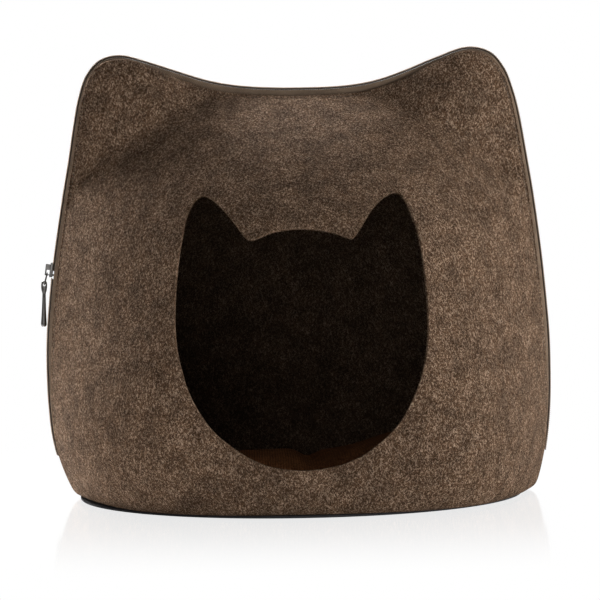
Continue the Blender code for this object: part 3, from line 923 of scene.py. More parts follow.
def fibre_group() -> bpy.types.NodeTree:
    """Curly fibres, painted shade in the low pits between them, and larger clouds, for felt, plush and thread.

    Returns:
        The node group.
    """
    group = Group(
        "fibres",
        {"Place": "vector", "Fibre Scale": 400.0, "Cloud Scale": 60.0},
        ("Fibre", "Pit", "Cloud", "Height"),
    )
    given = group.given

    def strands(lay: tuple[float, float, float], share: float) -> object:
        """A noise that runs along one lay, as short curly strands do.

        Args:
            lay: how the strands are turned.
            share: the share of the fibres' scale.

        Returns:
            The noise's value.
        """
        scale = group.maths("MULTIPLY", given["Fibre Scale"], share)
        place = group.stretched(group.turned(given["Place"], lay), (1.0, 1.0, 0.4))
        return group.noise(place, scale, 1.0, 0.6, 1.0)

    steep_lay, slanted_lay = (0.1, 0.45, 0.2), (0.2, -0.6, 0.1)
    steep, slanted = strands(steep_lay, 1.0), strands(slanted_lay, 1.2)
    fibre = group.ranged(group.maths("MAXIMUM", steep, slanted), 0.50, 0.72)
    grain = group.noise(given["Place"], group.maths("MULTIPLY", given["Fibre Scale"], 0.75), 2.0, 0.8, 1.5)
    # Painted shade: the pit mask is highest where the fibres' height is lowest.
    pit = group.ranged(group.maths("MULTIPLY_ADD", fibre, 0.08, grain), 0.55, 0.38)
    cloud = group.noise(given["Place"], given["Cloud Scale"], 3.0, 0.6, 0.3)
    height = group.maths("MULTIPLY_ADD", fibre, 0.5, grain)
    return group.give(Fibre=fibre, Pit=pit, Cloud=cloud, Height=height)


def weave_group() -> bpy.types.NodeTree:
    """Twill ribs and the threads that cross them, for tape and base cloth.

    Returns:
        The node group.
    """
    group = Group(
        "weave",
        {"Along": 0.0, "Across": 0.0, "Pitch": 0.0012, "Slant": 1.0},
        ("Rib", "Height"),
    )
    given = group.given
    lean = group.maths("MULTIPLY_ADD", given["Across"], given["Slant"], given["Along"])
    turn = group.maths("MULTIPLY", group.maths("DIVIDE", lean, given["Pitch"]), tau)
    rib = group.maths("MULTIPLY_ADD", group.maths("SINE", turn), 0.5, 0.5)
    crossing = group.maths("MULTIPLY", group.maths("DIVIDE", given["Across"], given["Pitch"]), 2 * tau)
    thread = group.maths("MULTIPLY_ADD", group.maths("SINE", crossing), 0.5, 0.5)
    height = group.maths("MULTIPLY_ADD", thread, 0.35, group.maths("MULTIPLY", rib, 0.65))
    return group.give(Rib=rib, Height=height)


def lint_group() -> bpy.types.NodeTree:
    """Sparse pale specks and short hairs that cling to cloth.

    Returns:
        The node group.
    """
    group = Group("lint", {"Place": "vector", "Scale": 160.0}, ("Speck",))
    given = group.given
    cells = group.add("ShaderNodeTexVoronoi")
    group.feed(cells.inputs["Vector"], given["Place"])
    group.feed(cells.inputs["Scale"], given["Scale"])
    near = group.ranged(cells.outputs["Distance"], 0.16, 0.06)
    chosen = group.ranged(group.noise(given["Place"], 45.0, 1.0), 0.60, 0.68)
    return group.give(Speck=group.maths("MULTIPLY", near, chosen))


def handling_group() -> bpy.types.NodeTree:
    """The tarnish, smudges and fine scratches of metal that is held often.

    Returns:
        The node group.
    """
    group = Group("handling", {"Place": "vector", "Amount": 1.0}, ("Tarnish", "Gloss", "Height"))
    given = group.given
    smudge = group.noise(given["Place"], 420.0, 3.0, 0.6, 0.4)
    tarnish = group.maths("MULTIPLY", group.ranged(smudge, 0.45, 0.75), given["Amount"])
    drawn = group.stretched(given["Place"], (1.0, 1.0, 0.08))
    scratch = group.noise(drawn, 5200.0, 2.0, 0.7)
    gloss = group.maths("MULTIPLY_ADD", scratch, 0.35, group.maths("MULTIPLY", smudge, 0.4))
    return group.give(Tarnish=tarnish, Gloss=gloss, Height=scratch)


@dataclass
class Effects:
    """The node groups that several finishes share, each built once."""

    fibres: bpy.types.NodeTree = field(default_factory=fibre_group)
    weave: bpy.types.NodeTree = field(default_factory=weave_group)
    lint: bpy.types.NodeTree = field(default_factory=lint_group)
    handling: bpy.types.NodeTree = field(default_factory=handling_group)


def colour(red: float, green: float, blue: float) -> tuple[float, float, float, float]:
    """A colour with full opacity."""
    return (red, green, blue, 1.0)


def new_material(name: str) -> tuple[bpy.types.Material, NodeTree, bpy.types.Node]:
    """A material, its node tree and its shader.

    Args:
        name: the material's name.

    Returns:
        All three.
    """
    material = bpy.data.materials.new(name)
    material.use_nodes = True
    return material, NodeTree(material.node_tree), material.node_tree.nodes["Principled BSDF"]


# ---------------- Finishes ----------------


def clouded(nodes: NodeTree, tone: object, cloud: object, low: float, high: float) -> object:
    """A tone that soft clouds make darker, down to low, and paler, up to high."""
    return nodes.mixed(1.0, tone, nodes.ranged(cloud, 0.3, 0.7, low, high), "MULTIPLY")


def specked(
    nodes: NodeTree, effects: Effects, tone: object, scale: float, share: float, speck: tuple
) -> object:
    """A tone with a share of lint over it, in the colour speck."""
    lint = nodes.grouped(effects.lint, Place=nodes.place(), Scale=scale).outputs["Speck"]
    return nodes.mixed(nodes.maths("MULTIPLY", lint, share), tone, speck)


def finish_shader(
    nodes: NodeTree, shader: bpy.types.Node, tone: object, normal: object, **values: object
) -> None:
    """Joins a tone and a normal to a shader and sets its other inputs.

    Args:
        nodes: the material's nodes.
        shader: the shader whose inputs are set.
        tone: the colour.
        normal: the normal.
        values: its other inputs by name, with _ for a space.
    """
    nodes.feed(shader.inputs["Base Color"], tone)
    nodes.feed(shader.inputs["Normal"], normal)
    for name, value in values.items():
        nodes.feed(shader.inputs[name.replace("_", " ")], value)


@dataclass(frozen=True)
class FeltFinish:
    """Heathered wool felt: curly fibres of several browns, with painted shade in the low pits between them."""

    name: str = "wool_felt"
    pit: tuple = colour(0.014, 0.0050, 0.0012)
    body: tuple = colour(0.104, 0.059, 0.033)
    fibre: tuple = colour(0.415, 0.297, 0.212)
    speck: tuple = colour(0.42, 0.36, 0.30)
    fibre_share: float = 0.85
    pit_shade_share: float = 0.8
    speck_share: float = 0.5
    speck_scale: float = 210.0
    cloud_low: float = 0.72
    cloud_high: float = 1.25
    # Painted shade on the felt's inner face, standing in for the shade inside the cave.
    inner_painted_shade: float = 0.6
    fibre_scale: float = 900.0
    cloud_scale: float = 60.0
    roughness: float = 0.95
    specular: float = 0.04
    relief: float = 0.8 * MM

    def material(self, effects: Effects) -> bpy.types.Material:
        """Builds the finish from the shared effects.

        Args:
            effects: the shared node groups.

        Returns:
            The material.
        """
        material, nodes, shader = new_material(self.name)
        wool = nodes.grouped(
            effects.fibres, Place=nodes.place(), Fibre_Scale=self.fibre_scale, Cloud_Scale=self.cloud_scale
        ).outputs
        share = nodes.ranged(wool["Fibre"], 0.0, 1.0, 0.0, self.fibre_share)
        tone = nodes.mixed(share, self.body, self.fibre)
        # Painted shade: the near-black pit colour fills the low places between the fibres.
        tone = nodes.mixed(nodes.maths("MULTIPLY", wool["Pit"], self.pit_shade_share), tone, self.pit)
        tone = clouded(nodes, tone, wool["Cloud"], self.cloud_low, self.cloud_high)
        tone = specked(nodes, effects, tone, self.speck_scale, self.speck_share, self.speck)
        # Painted shade: the felt's inner face is made darker, standing in for the shade inside the cave.
        inner = nodes.add("ShaderNodeAttribute", attribute_name="inner").outputs["Fac"]
        tone = nodes.mixed(1.0, tone, nodes.ranged(inner, 0.0, 1.0, 1.0, self.inner_painted_shade), "MULTIPLY")
        normal = nodes.relief(wool["Height"], self.relief)
        finish_shader(nodes, shader, tone, normal, Roughness=self.roughness, Specular_IOR_Level=self.specular)
        return material


@dataclass(frozen=True)
class TapeFinish:
    """Woven polyester tape with a diagonal twill, darker in the twill's grooves as painted shade and paler on
    its ribs as painted light.
    """

    name: str = "zip_tape_twill"
    valley: tuple = colour(0.105, 0.072, 0.048)
    ridge: tuple = colour(0.235, 0.168, 0.118)
    speck: tuple = colour(0.35, 0.30, 0.26)
    speck_share: float = 0.35
    speck_scale: float = 300.0
    fuzz_scale: float = 900.0
    fuzz_share: float = 0.25
    cloud_scale: float = 90.0
    slant: float = 1.3
    roughness: float = 0.8
    specular: float = 0.06
    pitch: float = 1.5 * MM
    relief: float = 0.16 * MM

    def material(self, effects: Effects) -> bpy.types.Material:
        """Builds the finish from the shared effects.

        Args:
            effects: the shared node groups.

        Returns:
            The material.
        """
        material, nodes, shader = new_material(self.name)
        parts = nodes.add("ShaderNodeSeparateXYZ")
        nodes.feed(parts.inputs[0], nodes.add("ShaderNodeUVMap", uv_map="lie").outputs[0])
        cloth = nodes.grouped(
            effects.weave, Along=parts.outputs[0], Across=parts.outputs[1], Pitch=self.pitch, Slant=self.slant
        ).outputs
        fuzz = nodes.grouped(
            effects.fibres, Place=nodes.place(), Fibre_Scale=self.fuzz_scale, Cloud_Scale=self.cloud_scale
        ).outputs
        # Painted shade and light: the valley colour fills the twill's grooves and the ridge colour its ribs.
        tone = nodes.mixed(cloth["Rib"], self.valley, self.ridge)
        tone = clouded(nodes, tone, fuzz["Cloud"], 0.85, 1.15)
        tone = specked(nodes, effects, tone, self.speck_scale, self.speck_share, self.speck)
        height = nodes.maths("MULTIPLY_ADD", fuzz["Height"], self.fuzz_share, cloth["Height"])
        normal = nodes.relief(height, self.relief)
        finish_shader(nodes, shader, tone, normal, Roughness=self.roughness, Specular_IOR_Level=self.specular)
        return material


@dataclass(frozen=True)
class CoilFinish:
    """Brown nylon, paler towards the top of each turn and on the wire's outer face there as a painted
    highlight, and darker lower down and on the cords as painted shade.
    """

    name: str = "nylon_coil"
    shade: tuple = colour(0.090, 0.067, 0.050)
    crown: tuple = colour(0.400, 0.310, 0.240)
    tarnish_share: float = 0.4
    smooth: float = 0.5
    rough: float = 0.7
    specular: float = 0.08
    relief: float = 0.01 * MM

    def material(self, effects: Effects) -> bpy.types.Material:
        """Builds the finish from the shared effects.

        Args:
            effects: the shared node groups.

        Returns:
            The material.
        """
        material, nodes, shader = new_material(self.name)
        held = nodes.grouped(effects.handling, Place=nodes.place(), Amount=self.tarnish_share).outputs
        crown = nodes.add("ShaderNodeAttribute", attribute_name="crown").outputs["Fac"]
        # Painted light and shade: the crown value makes each turn paler towards its top and darker below, and
        # the cords darkest.
        tone = nodes.mixed(nodes.ranged(crown, 0.3, 1.0), self.shade, self.crown)
        tone = nodes.mixed(held["Tarnish"], tone, self.shade)
        roughness = nodes.ranged(held["Gloss"], 0.2, 0.6, self.smooth, self.rough)
        normal = nodes.relief(held["Height"], self.relief)
        finish_shader(nodes, shader, tone, normal, Roughness=roughness, Specular_IOR_Level=self.specular)
        return material


@dataclass(frozen=True)
class MetalFinish:
    """Dark nickel plate over cast zinc, handled and a little smudged."""

    name: str = "dark_nickel"
    plate: tuple = colour(0.110, 0.105, 0.100)
    tarnish: tuple = colour(0.034, 0.032, 0.030)
    smooth: float = 0.16
    rough: float = 0.34
    relief: float = 0.006 * MM

    def material(self, effects: Effects) -> bpy.types.Material:
        """Builds the finish from the shared effects.

        Args:
            effects: the shared node groups.

        Returns:
            The material.
        """
        material, nodes, shader = new_material(self.name)
        held = nodes.grouped(effects.handling, Place=nodes.place(), Amount=1.0).outputs
        tone = nodes.mixed(held["Tarnish"], self.plate, self.tarnish)
        roughness = nodes.ranged(held["Gloss"], 0.2, 0.6, self.smooth, self.rough)
        normal = nodes.relief(held["Height"], self.relief)
        finish_shader(nodes, shader, tone, normal, Roughness=roughness, Metallic=1.0)
        return material


@dataclass(frozen=True)
class BaseFinish:
    """Black backing cloth with a close plain weave. Its near-black colour is partly the cloth's own and partly
    a painted contact shadow along the foot; the weave is darker in its low places as painted shade.
    """

    name: str = "base_cloth_and_painted_shadow"
    valley: tuple = colour(0.006, 0.006, 0.007)
    ridge: tuple = colour(0.022, 0.022, 0.026)
    speck: tuple = colour(0.20, 0.17, 0.14)
    speck_share: float = 0.5
    speck_scale: float = 170.0
    pitch: float = 0.9 * MM
    roughness: float = 0.85
    relief: float = 0.15 * MM

    def material(self, effects: Effects) -> bpy.types.Material:
        """Builds the finish from the shared effects.

        Args:
            effects: the shared node groups.

        Returns:
            The material.
        """
        material, nodes, shader = new_material(self.name)
        parts = nodes.add("ShaderNodeSeparateXYZ")
        nodes.feed(parts.inputs[0], nodes.place())
        cloth = nodes.grouped(
            effects.weave, Along=parts.outputs[0], Across=parts.outputs[1], Pitch=self.pitch, Slant=0.0
        ).outputs
        # Painted shade: the weave is darker where its height is low.
        tone = nodes.mixed(cloth["Height"], self.valley, self.ridge)
        tone = specked(nodes, effects, tone, self.speck_scale, self.speck_share, self.speck)
        normal = nodes.relief(cloth["Height"], self.relief)
        finish_shader(nodes, shader, tone, normal, Roughness=self.roughness)
        return material


@dataclass(frozen=True)
class PlushFinish:
    """Orange-brown plush with a short, clumped pile, paler on rib crests and raised tufts as painted light,
    and darker towards the root colour in the grooves and pits as painted shade.
    """

    name: str = "cushion_plush"
    root: tuple = colour(0.060, 0.019, 0.007)
    tip: tuple = colour(0.380, 0.160, 0.064)
    crest_light_share: float = 0.6
    fibre_share: float = 0.4
    pit_shade_share: float = 0.6
    fibre_scale: float = 520.0
    cloud_scale: float = 40.0
    roughness: float = 0.9
    specular: float = 0.05
    sheen: float = 0.06
    relief: float = 0.8 * MM

    def material(self, effects: Effects) -> bpy.types.Material:
        """Builds the finish from the shared effects.

        Args:
            effects: the shared node groups.

        Returns:
            The material.
        """
        material, nodes, shader = new_material(self.name)
        place = nodes.stretched(nodes.place(), (1.0, 0.6, 1.0))
        pile = nodes.grouped(
            effects.fibres, Place=place, Fibre_Scale=self.fibre_scale, Cloud_Scale=self.cloud_scale
        ).outputs
        # Painted light and shade: the crest value lifts rib crests and tufts towards the tip colour, and the
        # pits sink to the root colour.
        crest_light = nodes.add("ShaderNodeAttribute", attribute_name="crest_light").outputs["Fac"]
        crest_light = nodes.maths("MULTIPLY", crest_light, self.crest_light_share)
        share = nodes.maths("MULTIPLY_ADD", pile["Fibre"], self.fibre_share, crest_light)
        tone = nodes.mixed(share, self.root, self.tip)
        tone = nodes.mixed(nodes.maths("MULTIPLY", pile["Pit"], self.pit_shade_share), tone, self.root)
        tone = clouded(nodes, tone, pile["Cloud"], 0.8, 1.2)
        normal = nodes.relief(pile["Height"], self.relief)
        sheen = {"Sheen_Weight": self.sheen, "Sheen_Tint": self.tip}
        even = {"Roughness": self.roughness, "Specular_IOR_Level": self.specular}
        finish_shader(nodes, shader, tone, normal, **even, **sheen)
        return material


@dataclass(frozen=True)
class ThreadFinish:
    """Matt brown sewing thread with a visible twist."""

    name: str = "sewing_thread"
    shade: tuple = colour(0.040, 0.028, 0.020)
    light: tuple = colour(0.130, 0.094, 0.068)
    twist_scale: float = 1500.0
    cloud_scale: float = 120.0
    roughness: float = 0.7
    relief: float = 0.1 * MM

    def material(self, effects: Effects) -> bpy.types.Material:
        """Builds the finish from the shared effects.

        Args:
            effects: the shared node groups.

        Returns:
            The material.
        """
        material, nodes, shader = new_material(self.name)
        twist = nodes.grouped(
            effects.fibres, Place=nodes.place(), Fibre_Scale=self.twist_scale, Cloud_Scale=self.cloud_scale
        ).outputs
        tone = nodes.mixed(twist["Fibre"], self.shade, self.light)
        normal = nodes.relief(twist["Height"], self.relief)
        finish_shader(nodes, shader, tone, normal, Roughness=self.roughness)
        return material


# ---------------- Felt shells ----------------


@dataclass
class FeltShell:
    """One felt shell: a sheet with a rolled edge beside the zip and, in front, the cut doorway."""

    form: CaveForm
    side: Side
    directions: int = 560
    outer_rows: int = 84
    inner_rows: int = 26
    edge_steps: int = 8
    rolled_edge: float = 1.5 * MM
    cut_edge: float = 0.7 * MM
    stitch_inset: float = 3.0 * MM
    stitch_groove: float = 0.45 * MM
    stitch_groove_width: float = 1.1 * MM
    uneven: float = 0.55 * MM
    broad_wave: float = 62 * MM
    fine_wave: float = 17 * MM
    fine_share: float = 0.35
    broad_offset: float = 3.1
    fine_offset: float = 7.7
    even_beside_zip: float = 22 * MM
    even_foot: float = 8 * MM
    even_foot_blend: float = 14 * MM
    groove_foot: float = 20 * MM
    ear_rise: float = 58
    ear_width: float = 10
    ear_crowding: float = 1.4
    fine_directions: int = 7201
    pole_radius: float = 1.0 * MM

    def rays(self) -> np.ndarray:
        """Directions of the rays, closer together round the ears.

        Returns:
            The directions, in degrees.
        """
        fine = np.linspace(-90, 270, self.fine_directions)
        crowding = 1 + self.ear_crowding * bump((self.form.rise_of(fine) - self.ear_rise) / self.ear_width)
        travelled = np.concatenate([[0], np.cumsum((crowding[1:] + crowding[:-1]) / 2)])
        shares = (np.arange(self.directions) + 0.5) / self.directions
        return np.interp(shares * travelled[-1], travelled, fine)

    def lines(self, shares: np.ndarray) -> tuple[np.ndarray, np.ndarray]:
        """Directions and distances of the sheet's points.

        Args:
            shares: where along each ray, from 0 at the zip's edge to 1 at the doorway or the middle.

        Returns:
            The directions and distances, as rays by shares.
        """
        rays = self.rays()
        edge, _ = self.form.felt_edge(rays)
        if self.side is Side.REAR:
            turned, end = rays, np.full_like(edge, self.pole_radius)
        else:
            turned, end = self.form.doorway_end(rays)
        direction = rays[:, None] + (turned - rays)[:, None] * smooth_step(shares) ** 0.5
        return direction, edge[:, None] + (end - edge)[:, None] * shares

    def unevenness(self, place: np.ndarray, direction: np.ndarray, distance: np.ndarray) -> np.ndarray:
        """How far the sheet stands proud of its smooth form. It is even beside the zip and on the floor.

        Args:
            place: the points.
            direction: directions from the centre, in degrees.
            distance: distances from the centre.

        Returns:
            The heights over the smooth form.
        """
        edge, _ = self.form.felt_edge(direction)
        inside = smooth_step((edge - distance) / self.even_beside_zip)
        clear = smooth_step((place[..., 2] - self.even_foot) / self.even_foot_blend)
        broad = ripple(place, self.broad_wave, self.broad_offset * self.side.value)
        fine = ripple(place, self.fine_wave, self.fine_offset)
        groove = bump((edge - distance - self.stitch_inset) / self.stitch_groove_width)
        off_floor = smooth_step((place[..., 2] - self.groove_foot) / self.groove_foot)
        waves = self.uneven * (broad + self.fine_share * fine) * inside * clear
        return waves - self.stitch_groove * groove * off_floor

    def points(self) -> tuple[np.ndarray, np.ndarray]:
        """All points of the sheet.

        Returns:
            The points, round each ray's section, and each one's share of the inner face, from 0 to 1.
        """
        form, side = self.form, self.side
        thickness = form.felt_thickness
        direction, distance = self.lines(np.linspace(0, 1, self.outer_rows))
        edge, end = distance[:, :1], distance[:, -1:]
        bend = np.linspace(0, pi, self.edge_steps + 2)[1:-1]
        around = (len(direction), len(bend))
        outer = np.clip(distance, None, edge - self.rolled_edge)
        cut = []
        if side is Side.FRONT:
            outer = np.maximum(outer, end + self.cut_edge)
            square = np.sign(np.cos(bend)) * np.abs(np.cos(bend)) ** 0.5
            cut_below = np.broadcast_to(thickness * (1 - square) / 2, around)
            cut_distance = end + self.cut_edge * (1 - np.sin(bend) ** 0.4)
            cut = [(np.repeat(direction[:, -1:], len(bend), 1), cut_distance, cut_below)]
        back = np.linspace(0, self.outer_rows - 1, self.inner_rows).round().astype(int)[::-1]
        face = (direction, outer, np.zeros_like(direction))
        inner = (direction[:, back], outer[:, back], np.full((len(direction), len(back)), thickness))
        rolled = edge - self.rolled_edge * (1 - np.sin(bend))
        rolled_below = np.broadcast_to((thickness * (1 - np.cos(bend)) / 2)[::-1], around)
        rim = (np.repeat(direction[:, :1], len(bend), 1), rolled, rolled_below)
        direction, distance, below = (np.concatenate(part, 1) for part in zip(face, *cut, inner, rim))
        place = form.below_point(direction, distance, side, below)
        outer = form.outer_point(direction, distance, side)
        normal = form.outward(direction, distance, side)
        shift = self.unevenness(outer, direction, distance)
        place = place + shift[..., None] * normal
        place[..., 1] = side.value * np.maximum(side.value * place[..., 1], form.seam_half_gap)
        return place, smooth_step((below / thickness - 0.5) / 0.5)

    def mesh(self) -> bpy.types.Mesh:
        """The shell's mesh. The rear one is closed at its middle.

        Returns:
            The mesh.
        """
        points, inner = self.points()
        name = f"felt_{self.side.word}"
        if self.side is Side.FRONT:
            mesh = grid_mesh(name, points, ring_closed=True, row_closed=True)
            add_values(mesh, "inner", inner)
            return mesh
        rows, columns = points.shape[:2]
        quads = grid_quads(rows, columns, ring_closed=True, row_closed=True)
        last = self.outer_rows - 1
        crossing = (quads % columns == last).any(1) & (quads % columns == last + 1).any(1)
        quads = quads[~crossing]
        middle, under = points[:, last].mean(0), points[:, last + 1].mean(0)
        flat = np.concatenate([points.reshape(-1, 3), [middle, under]])
        if signed_volume(flat, quads) < 0:
            quads = quads[:, ::-1]
        after = (np.arange(rows) + 1) % rows
        outer_fan = np.stack([np.arange(rows) * columns + last, after * columns + last], 1)
        inner_fan = outer_fan[:, ::-1] + 1
        made = bmesh.new()
        corners = [made.verts.new(point) for point in flat]
        for quad in quads.tolist():
            made.faces.new([corners[k] for k in quad])
        for fan, hub in ((outer_fan, len(flat) - 2), (inner_fan, len(flat) - 1)):
            for start, end in fan.tolist():
                made.faces.new([corners[start], corners[end], corners[hub]])
        bmesh.ops.recalc_face_normals(made, faces=made.faces)
        if made.calc_volume(signed=True) < 0:
            bmesh.ops.reverse_faces(made, faces=made.faces)
        mesh = bpy.data.meshes.new(name)
        made.to_mesh(mesh)
        made.free()
        add_values(mesh, "inner", np.append(inner.ravel(), [0.0, 1.0]))
        return mesh

    def build(self, felt: bpy.types.Material) -> bpy.types.Object:
        """Builds the shell.

        Args:
            felt: the felt's material.

        Returns:
            The object.
        """
        piece = add_piece(f"felt_{self.side.word}", self.mesh(), felt, (f"{self.side.word}_shell",))
        return piece


@dataclass
class SeamStitches:
    """The row of stitches that holds a shell's felt to its tape."""

    form: CaveForm
    side: Side
    inset: float = 3.0 * MM
    length: float = 2.7 * MM
    pitch: float = 3.5 * MM
    thread: float = 0.27 * MM
    lift: float = 0.12 * MM
    sink: float = 0.55 * MM
    end_gap: float = 2
    stations: int = 7
    sides: int = 6

    def mesh(self) -> bpy.types.Mesh:
        """Short arched threads along the felt's edge, their ends sunk into the felt.

        Returns:
            The mesh.
        """
        form = self.form
        start = form.zip_end + self.end_gap
        directions, lengths = form.zip_stations(start, 180 - start, self.pitch)
        share = np.linspace(-0.5, 0.5, self.stations)
        lay = np.interp(lengths[:-1, None] + self.pitch / 2 + share * self.length, lengths, directions)
        edge, _ = form.felt_edge(lay)
        arch = self.lift - (self.lift + self.sink) * np.abs(2 * share) ** 4
        below = np.broadcast_to(FeltShell.stitch_groove - arch, lay.shape)
        paths = form.below_point(lay, edge - self.inset, self.side, below)
        spokes = form.outward(lay, edge - self.inset, self.side)
        radius = self.thread * np.sqrt(np.maximum(1 - np.abs(2 * share) ** 6, 0.15))
        grids = [tube_grid(path, radius, spoke, self.sides, False) for path, spoke in zip(paths, spokes)]
        return joined_mesh(f"seam_stitches_{self.side.word}", grids)

    def build(self, thread: bpy.types.Material) -> bpy.types.Object:
        """Builds the row of stitches."""
        return add_piece(f"seam_stitches_{self.side.word}", self.mesh(), thread)


# ---------------- Zip ----------------


@dataclass
class ZipLayout:
    """Sizes that the tapes, the coils and the slider share."""

    coil_thickness: float = 2.42 * MM
    coil_clearance: float = 0.03 * MM
    coil_half_width: float = 2.9 * MM
    tape_thickness: float = 0.6 * MM
    tape_below_coil: float = 1.3 * MM
    tape_under_felt: float = 8 * MM
    tape_half_gap: float = 0.3 * MM
    tape_clearance: float = 0.75 * MM
    clearance: float = 0.35 * MM
    slider_height: float = 199 * MM
    slider_length: float = 12.5 * MM
    slider_width: float = 8.4 * MM
    slider_inner_width: float = 5.8 * MM
    plate_thickness: float = 1.1 * MM
    neck_length: float = 2.0 * MM
    neck_half_width: float = 0.6 * MM
    neck_inset: float = 1.0 * MM
    neck_spread_turn: float = 2.1
    neck_gap: float = 0.6
    neck_spread: float = 1.35 * MM
    bridge_height: float = 4.2 * MM
    bridge_width: float = 2.2 * MM
    bridge_bar: float = 1.2 * MM
    bridge_setback: float = 1.5 * MM
    bridge_head: float = 5.0 * MM

    @property
    def coil_top(self) -> float:
        """Height of the coils' crown over the zip line."""
        return self.coil_thickness - self.tape_below_coil + self.coil_clearance

    def slider_direction(self, form: CaveForm) -> float:
        """The slider's place on the zip line."""
        return form.direction_at_height(self.slider_height)

    def neck_direction(self, form: CaveForm) -> float:
        """The place on the zip line of the slider's neck."""
        half = self.slider_length / 2
        return form.direction_at_height(self.slider_height - half + self.neck_inset + self.neck_length / 2)

    def spread(self, form: CaveForm, direction: np.ndarray) -> np.ndarray:
        """How much further the tapes stand apart beside the slider's neck."""
        return self.neck_spread * bump((direction - self.neck_direction(form)) / self.neck_spread_turn)


@dataclass
class ZipTape:
    """One side's woven tape: flat under the coil, then down to the felt's edge and on under the felt."""

    form: CaveForm
    zip: ZipLayout
    side: Side
    spacing: float = 1.6 * MM
    span_steps: int = 5
    corners_across: tuple = (0.0, 4 * MM, 9 * MM, 12 * MM)

    def mesh(self) -> bpy.types.Mesh:
        """The tape's mesh, with its lie kept for the weave.

        Returns:
            The mesh.
        """
        form, layout, side = self.form, self.zip, self.side
        direction, lengths = form.zip_stations(form.zip_end, 180 - form.zip_end, self.spacing)
        edge, _ = form.felt_edge(direction)
        under = form.felt_thickness + layout.tape_clearance
        far = edge - layout.tape_under_felt / 2
        beside = layout.coil_half_width + layout.clearance
        gap = layout.tape_half_gap + layout.spread(form, direction)
        level = np.full_like(direction, -layout.tape_below_coil)
        sheet = np.full_like(direction, under)
        upper = [
            form.below_point(direction, far, side, sheet),
            form.below_point(direction, edge, side, sheet),
            form.off_zip(direction, level, side.value * beside),
            form.off_zip(direction, level, side.value * gap),
        ]
        outwards = form.zip_outward(direction)
        along = side.value * np.stack([outwards[:, 1], np.zeros_like(direction), -outwards[:, 0]], 1)
        corners = upper + offset_line(upper, along, layout.tape_thickness)[::-1]
        reach = self.corners_across + self.corners_across[::-1]
        columns, across = [], []
        for k, start in enumerate(corners):
            after = (k + 1) % len(corners)
            steps = 1 if reach[k] == reach[after] else self.span_steps
            for share in np.arange(steps) / steps:
                columns.append(start * (1 - share) + corners[after] * share)
                across.append(reach[k] * (1 - share) + reach[after] * share)
        points = np.stack(columns, 1)
        lie = (lengths, np.array(across))
        return grid_mesh(f"tape_{side.word}", points, ring_closed=False, row_closed=True, lie=lie)

    def build(self, tape: bpy.types.Material) -> bpy.types.Object:
        """Builds the tape.

        Args:
            tape: the tape's material.

        Returns:
            The object.
        """
        name = f"tape_{self.side.word}"
        piece = add_piece(name, self.mesh(), tape, (f"zip_tape_{self.side.word}",))
        return piece


@dataclass
class ZipCoils:
    """A closed stretch of the zip: two flattened nylon coils whose loops pass between each other."""

    form: CaveForm
    zip: ZipLayout
    word: str
    start: float
    end: float
    pitch: float = 1.8 * MM
    wire: float = 0.42 * MM
    cord: float = 0.17 * MM
    cord_flatness: float = 3.6
    reach_over: float = 0.42 * MM
    sway_squareness: float = 0.75
    rise_squareness: float = 0.85
    samples: int = 12
    sides: int = 6

    def coil(self, side: Side) -> tuple[np.ndarray, np.ndarray, np.ndarray]:
        """One side's coil and the flat cord that it is wound round.

        Args:
            side: the side of the zip plane that it is sewn to.

        Returns:
            The coil's points as stations by sides by 3, each point's share of the way up the coil, and the
            cord's points.
        """
        layout = self.zip
        outer = layout.coil_half_width - self.wire
        inner = -self.reach_over + self.wire
        middle, half_width = side.value * (outer + inner) / 2, side.value * (outer - inner) / 2
        half_height = layout.coil_thickness / 2 - self.wire
        centre_height = layout.coil_top - layout.coil_thickness / 2
        directions, lengths = self.form.zip_stations(self.start, self.end, self.pitch / 2)
        travel = lengths[-1] - self.pitch
        turns = int(travel / self.pitch)
        turn = np.arange(turns * self.samples + 1) * tau / self.samples
        start = self.pitch * (0.25 if side is Side.FRONT else 0.75)
        along = start + turn / tau * travel / turns * (1 - 0.5 / turns)
        direction = np.interp(along, lengths, directions)
        sway = np.sign(np.cos(turn)) * np.abs(np.cos(turn)) ** self.sway_squareness
        rise = np.sign(np.sin(turn)) * np.abs(np.sin(turn)) ** self.rise_squareness
        path = self.form.off_zip(direction, centre_height + half_height * rise, middle + half_width * sway)
        axis = self.form.off_zip(direction, np.full_like(rise, centre_height), middle)
        points = tube_grid(path, self.wire, path - axis, self.sides, closed=False)
        ring = np.cos(np.arange(self.sides) * tau / self.sides)
        rise = rise[:, None]
        # Painted light: the crown value rises towards the top of each turn, most on the wire's outer face
        # there.
        crown = np.clip(0.5 + 0.5 * rise + 0.25 * ring * np.maximum(rise, 0), 0, 1)
        sideways = np.array([0.0, 1.0, 0.0])
        cord = tube_grid(axis[:: self.samples], self.cord, sideways, self.sides, closed=False)
        cord[..., 1] = middle + (cord[..., 1] - middle) * self.cord_flatness
        return points, crown, cord

    def mesh(self) -> bpy.types.Mesh:
        """Both coils and their cords in one mesh.

        Returns:
            The mesh.
        """
        coils, crowns, cords = zip(*(self.coil(side) for side in Side))
        mesh = joined_mesh(f"coils_{self.word}", [*coils, *cords])
        # The cords get 0, the darkest coil colour, as painted shade.
        shades = [*crowns, *(np.zeros(cord.shape[:2]) for cord in cords)]
        add_values(mesh, "crown", np.concatenate([shade.ravel() for shade in shades]))
        return mesh

    def build(self, nylon: bpy.types.Material) -> bpy.types.Object:
        """Builds the stretch of coils."""
        return add_piece(f"coils_{self.word}", self.mesh(), nylon, (f"zip_coil_{self.word}",))


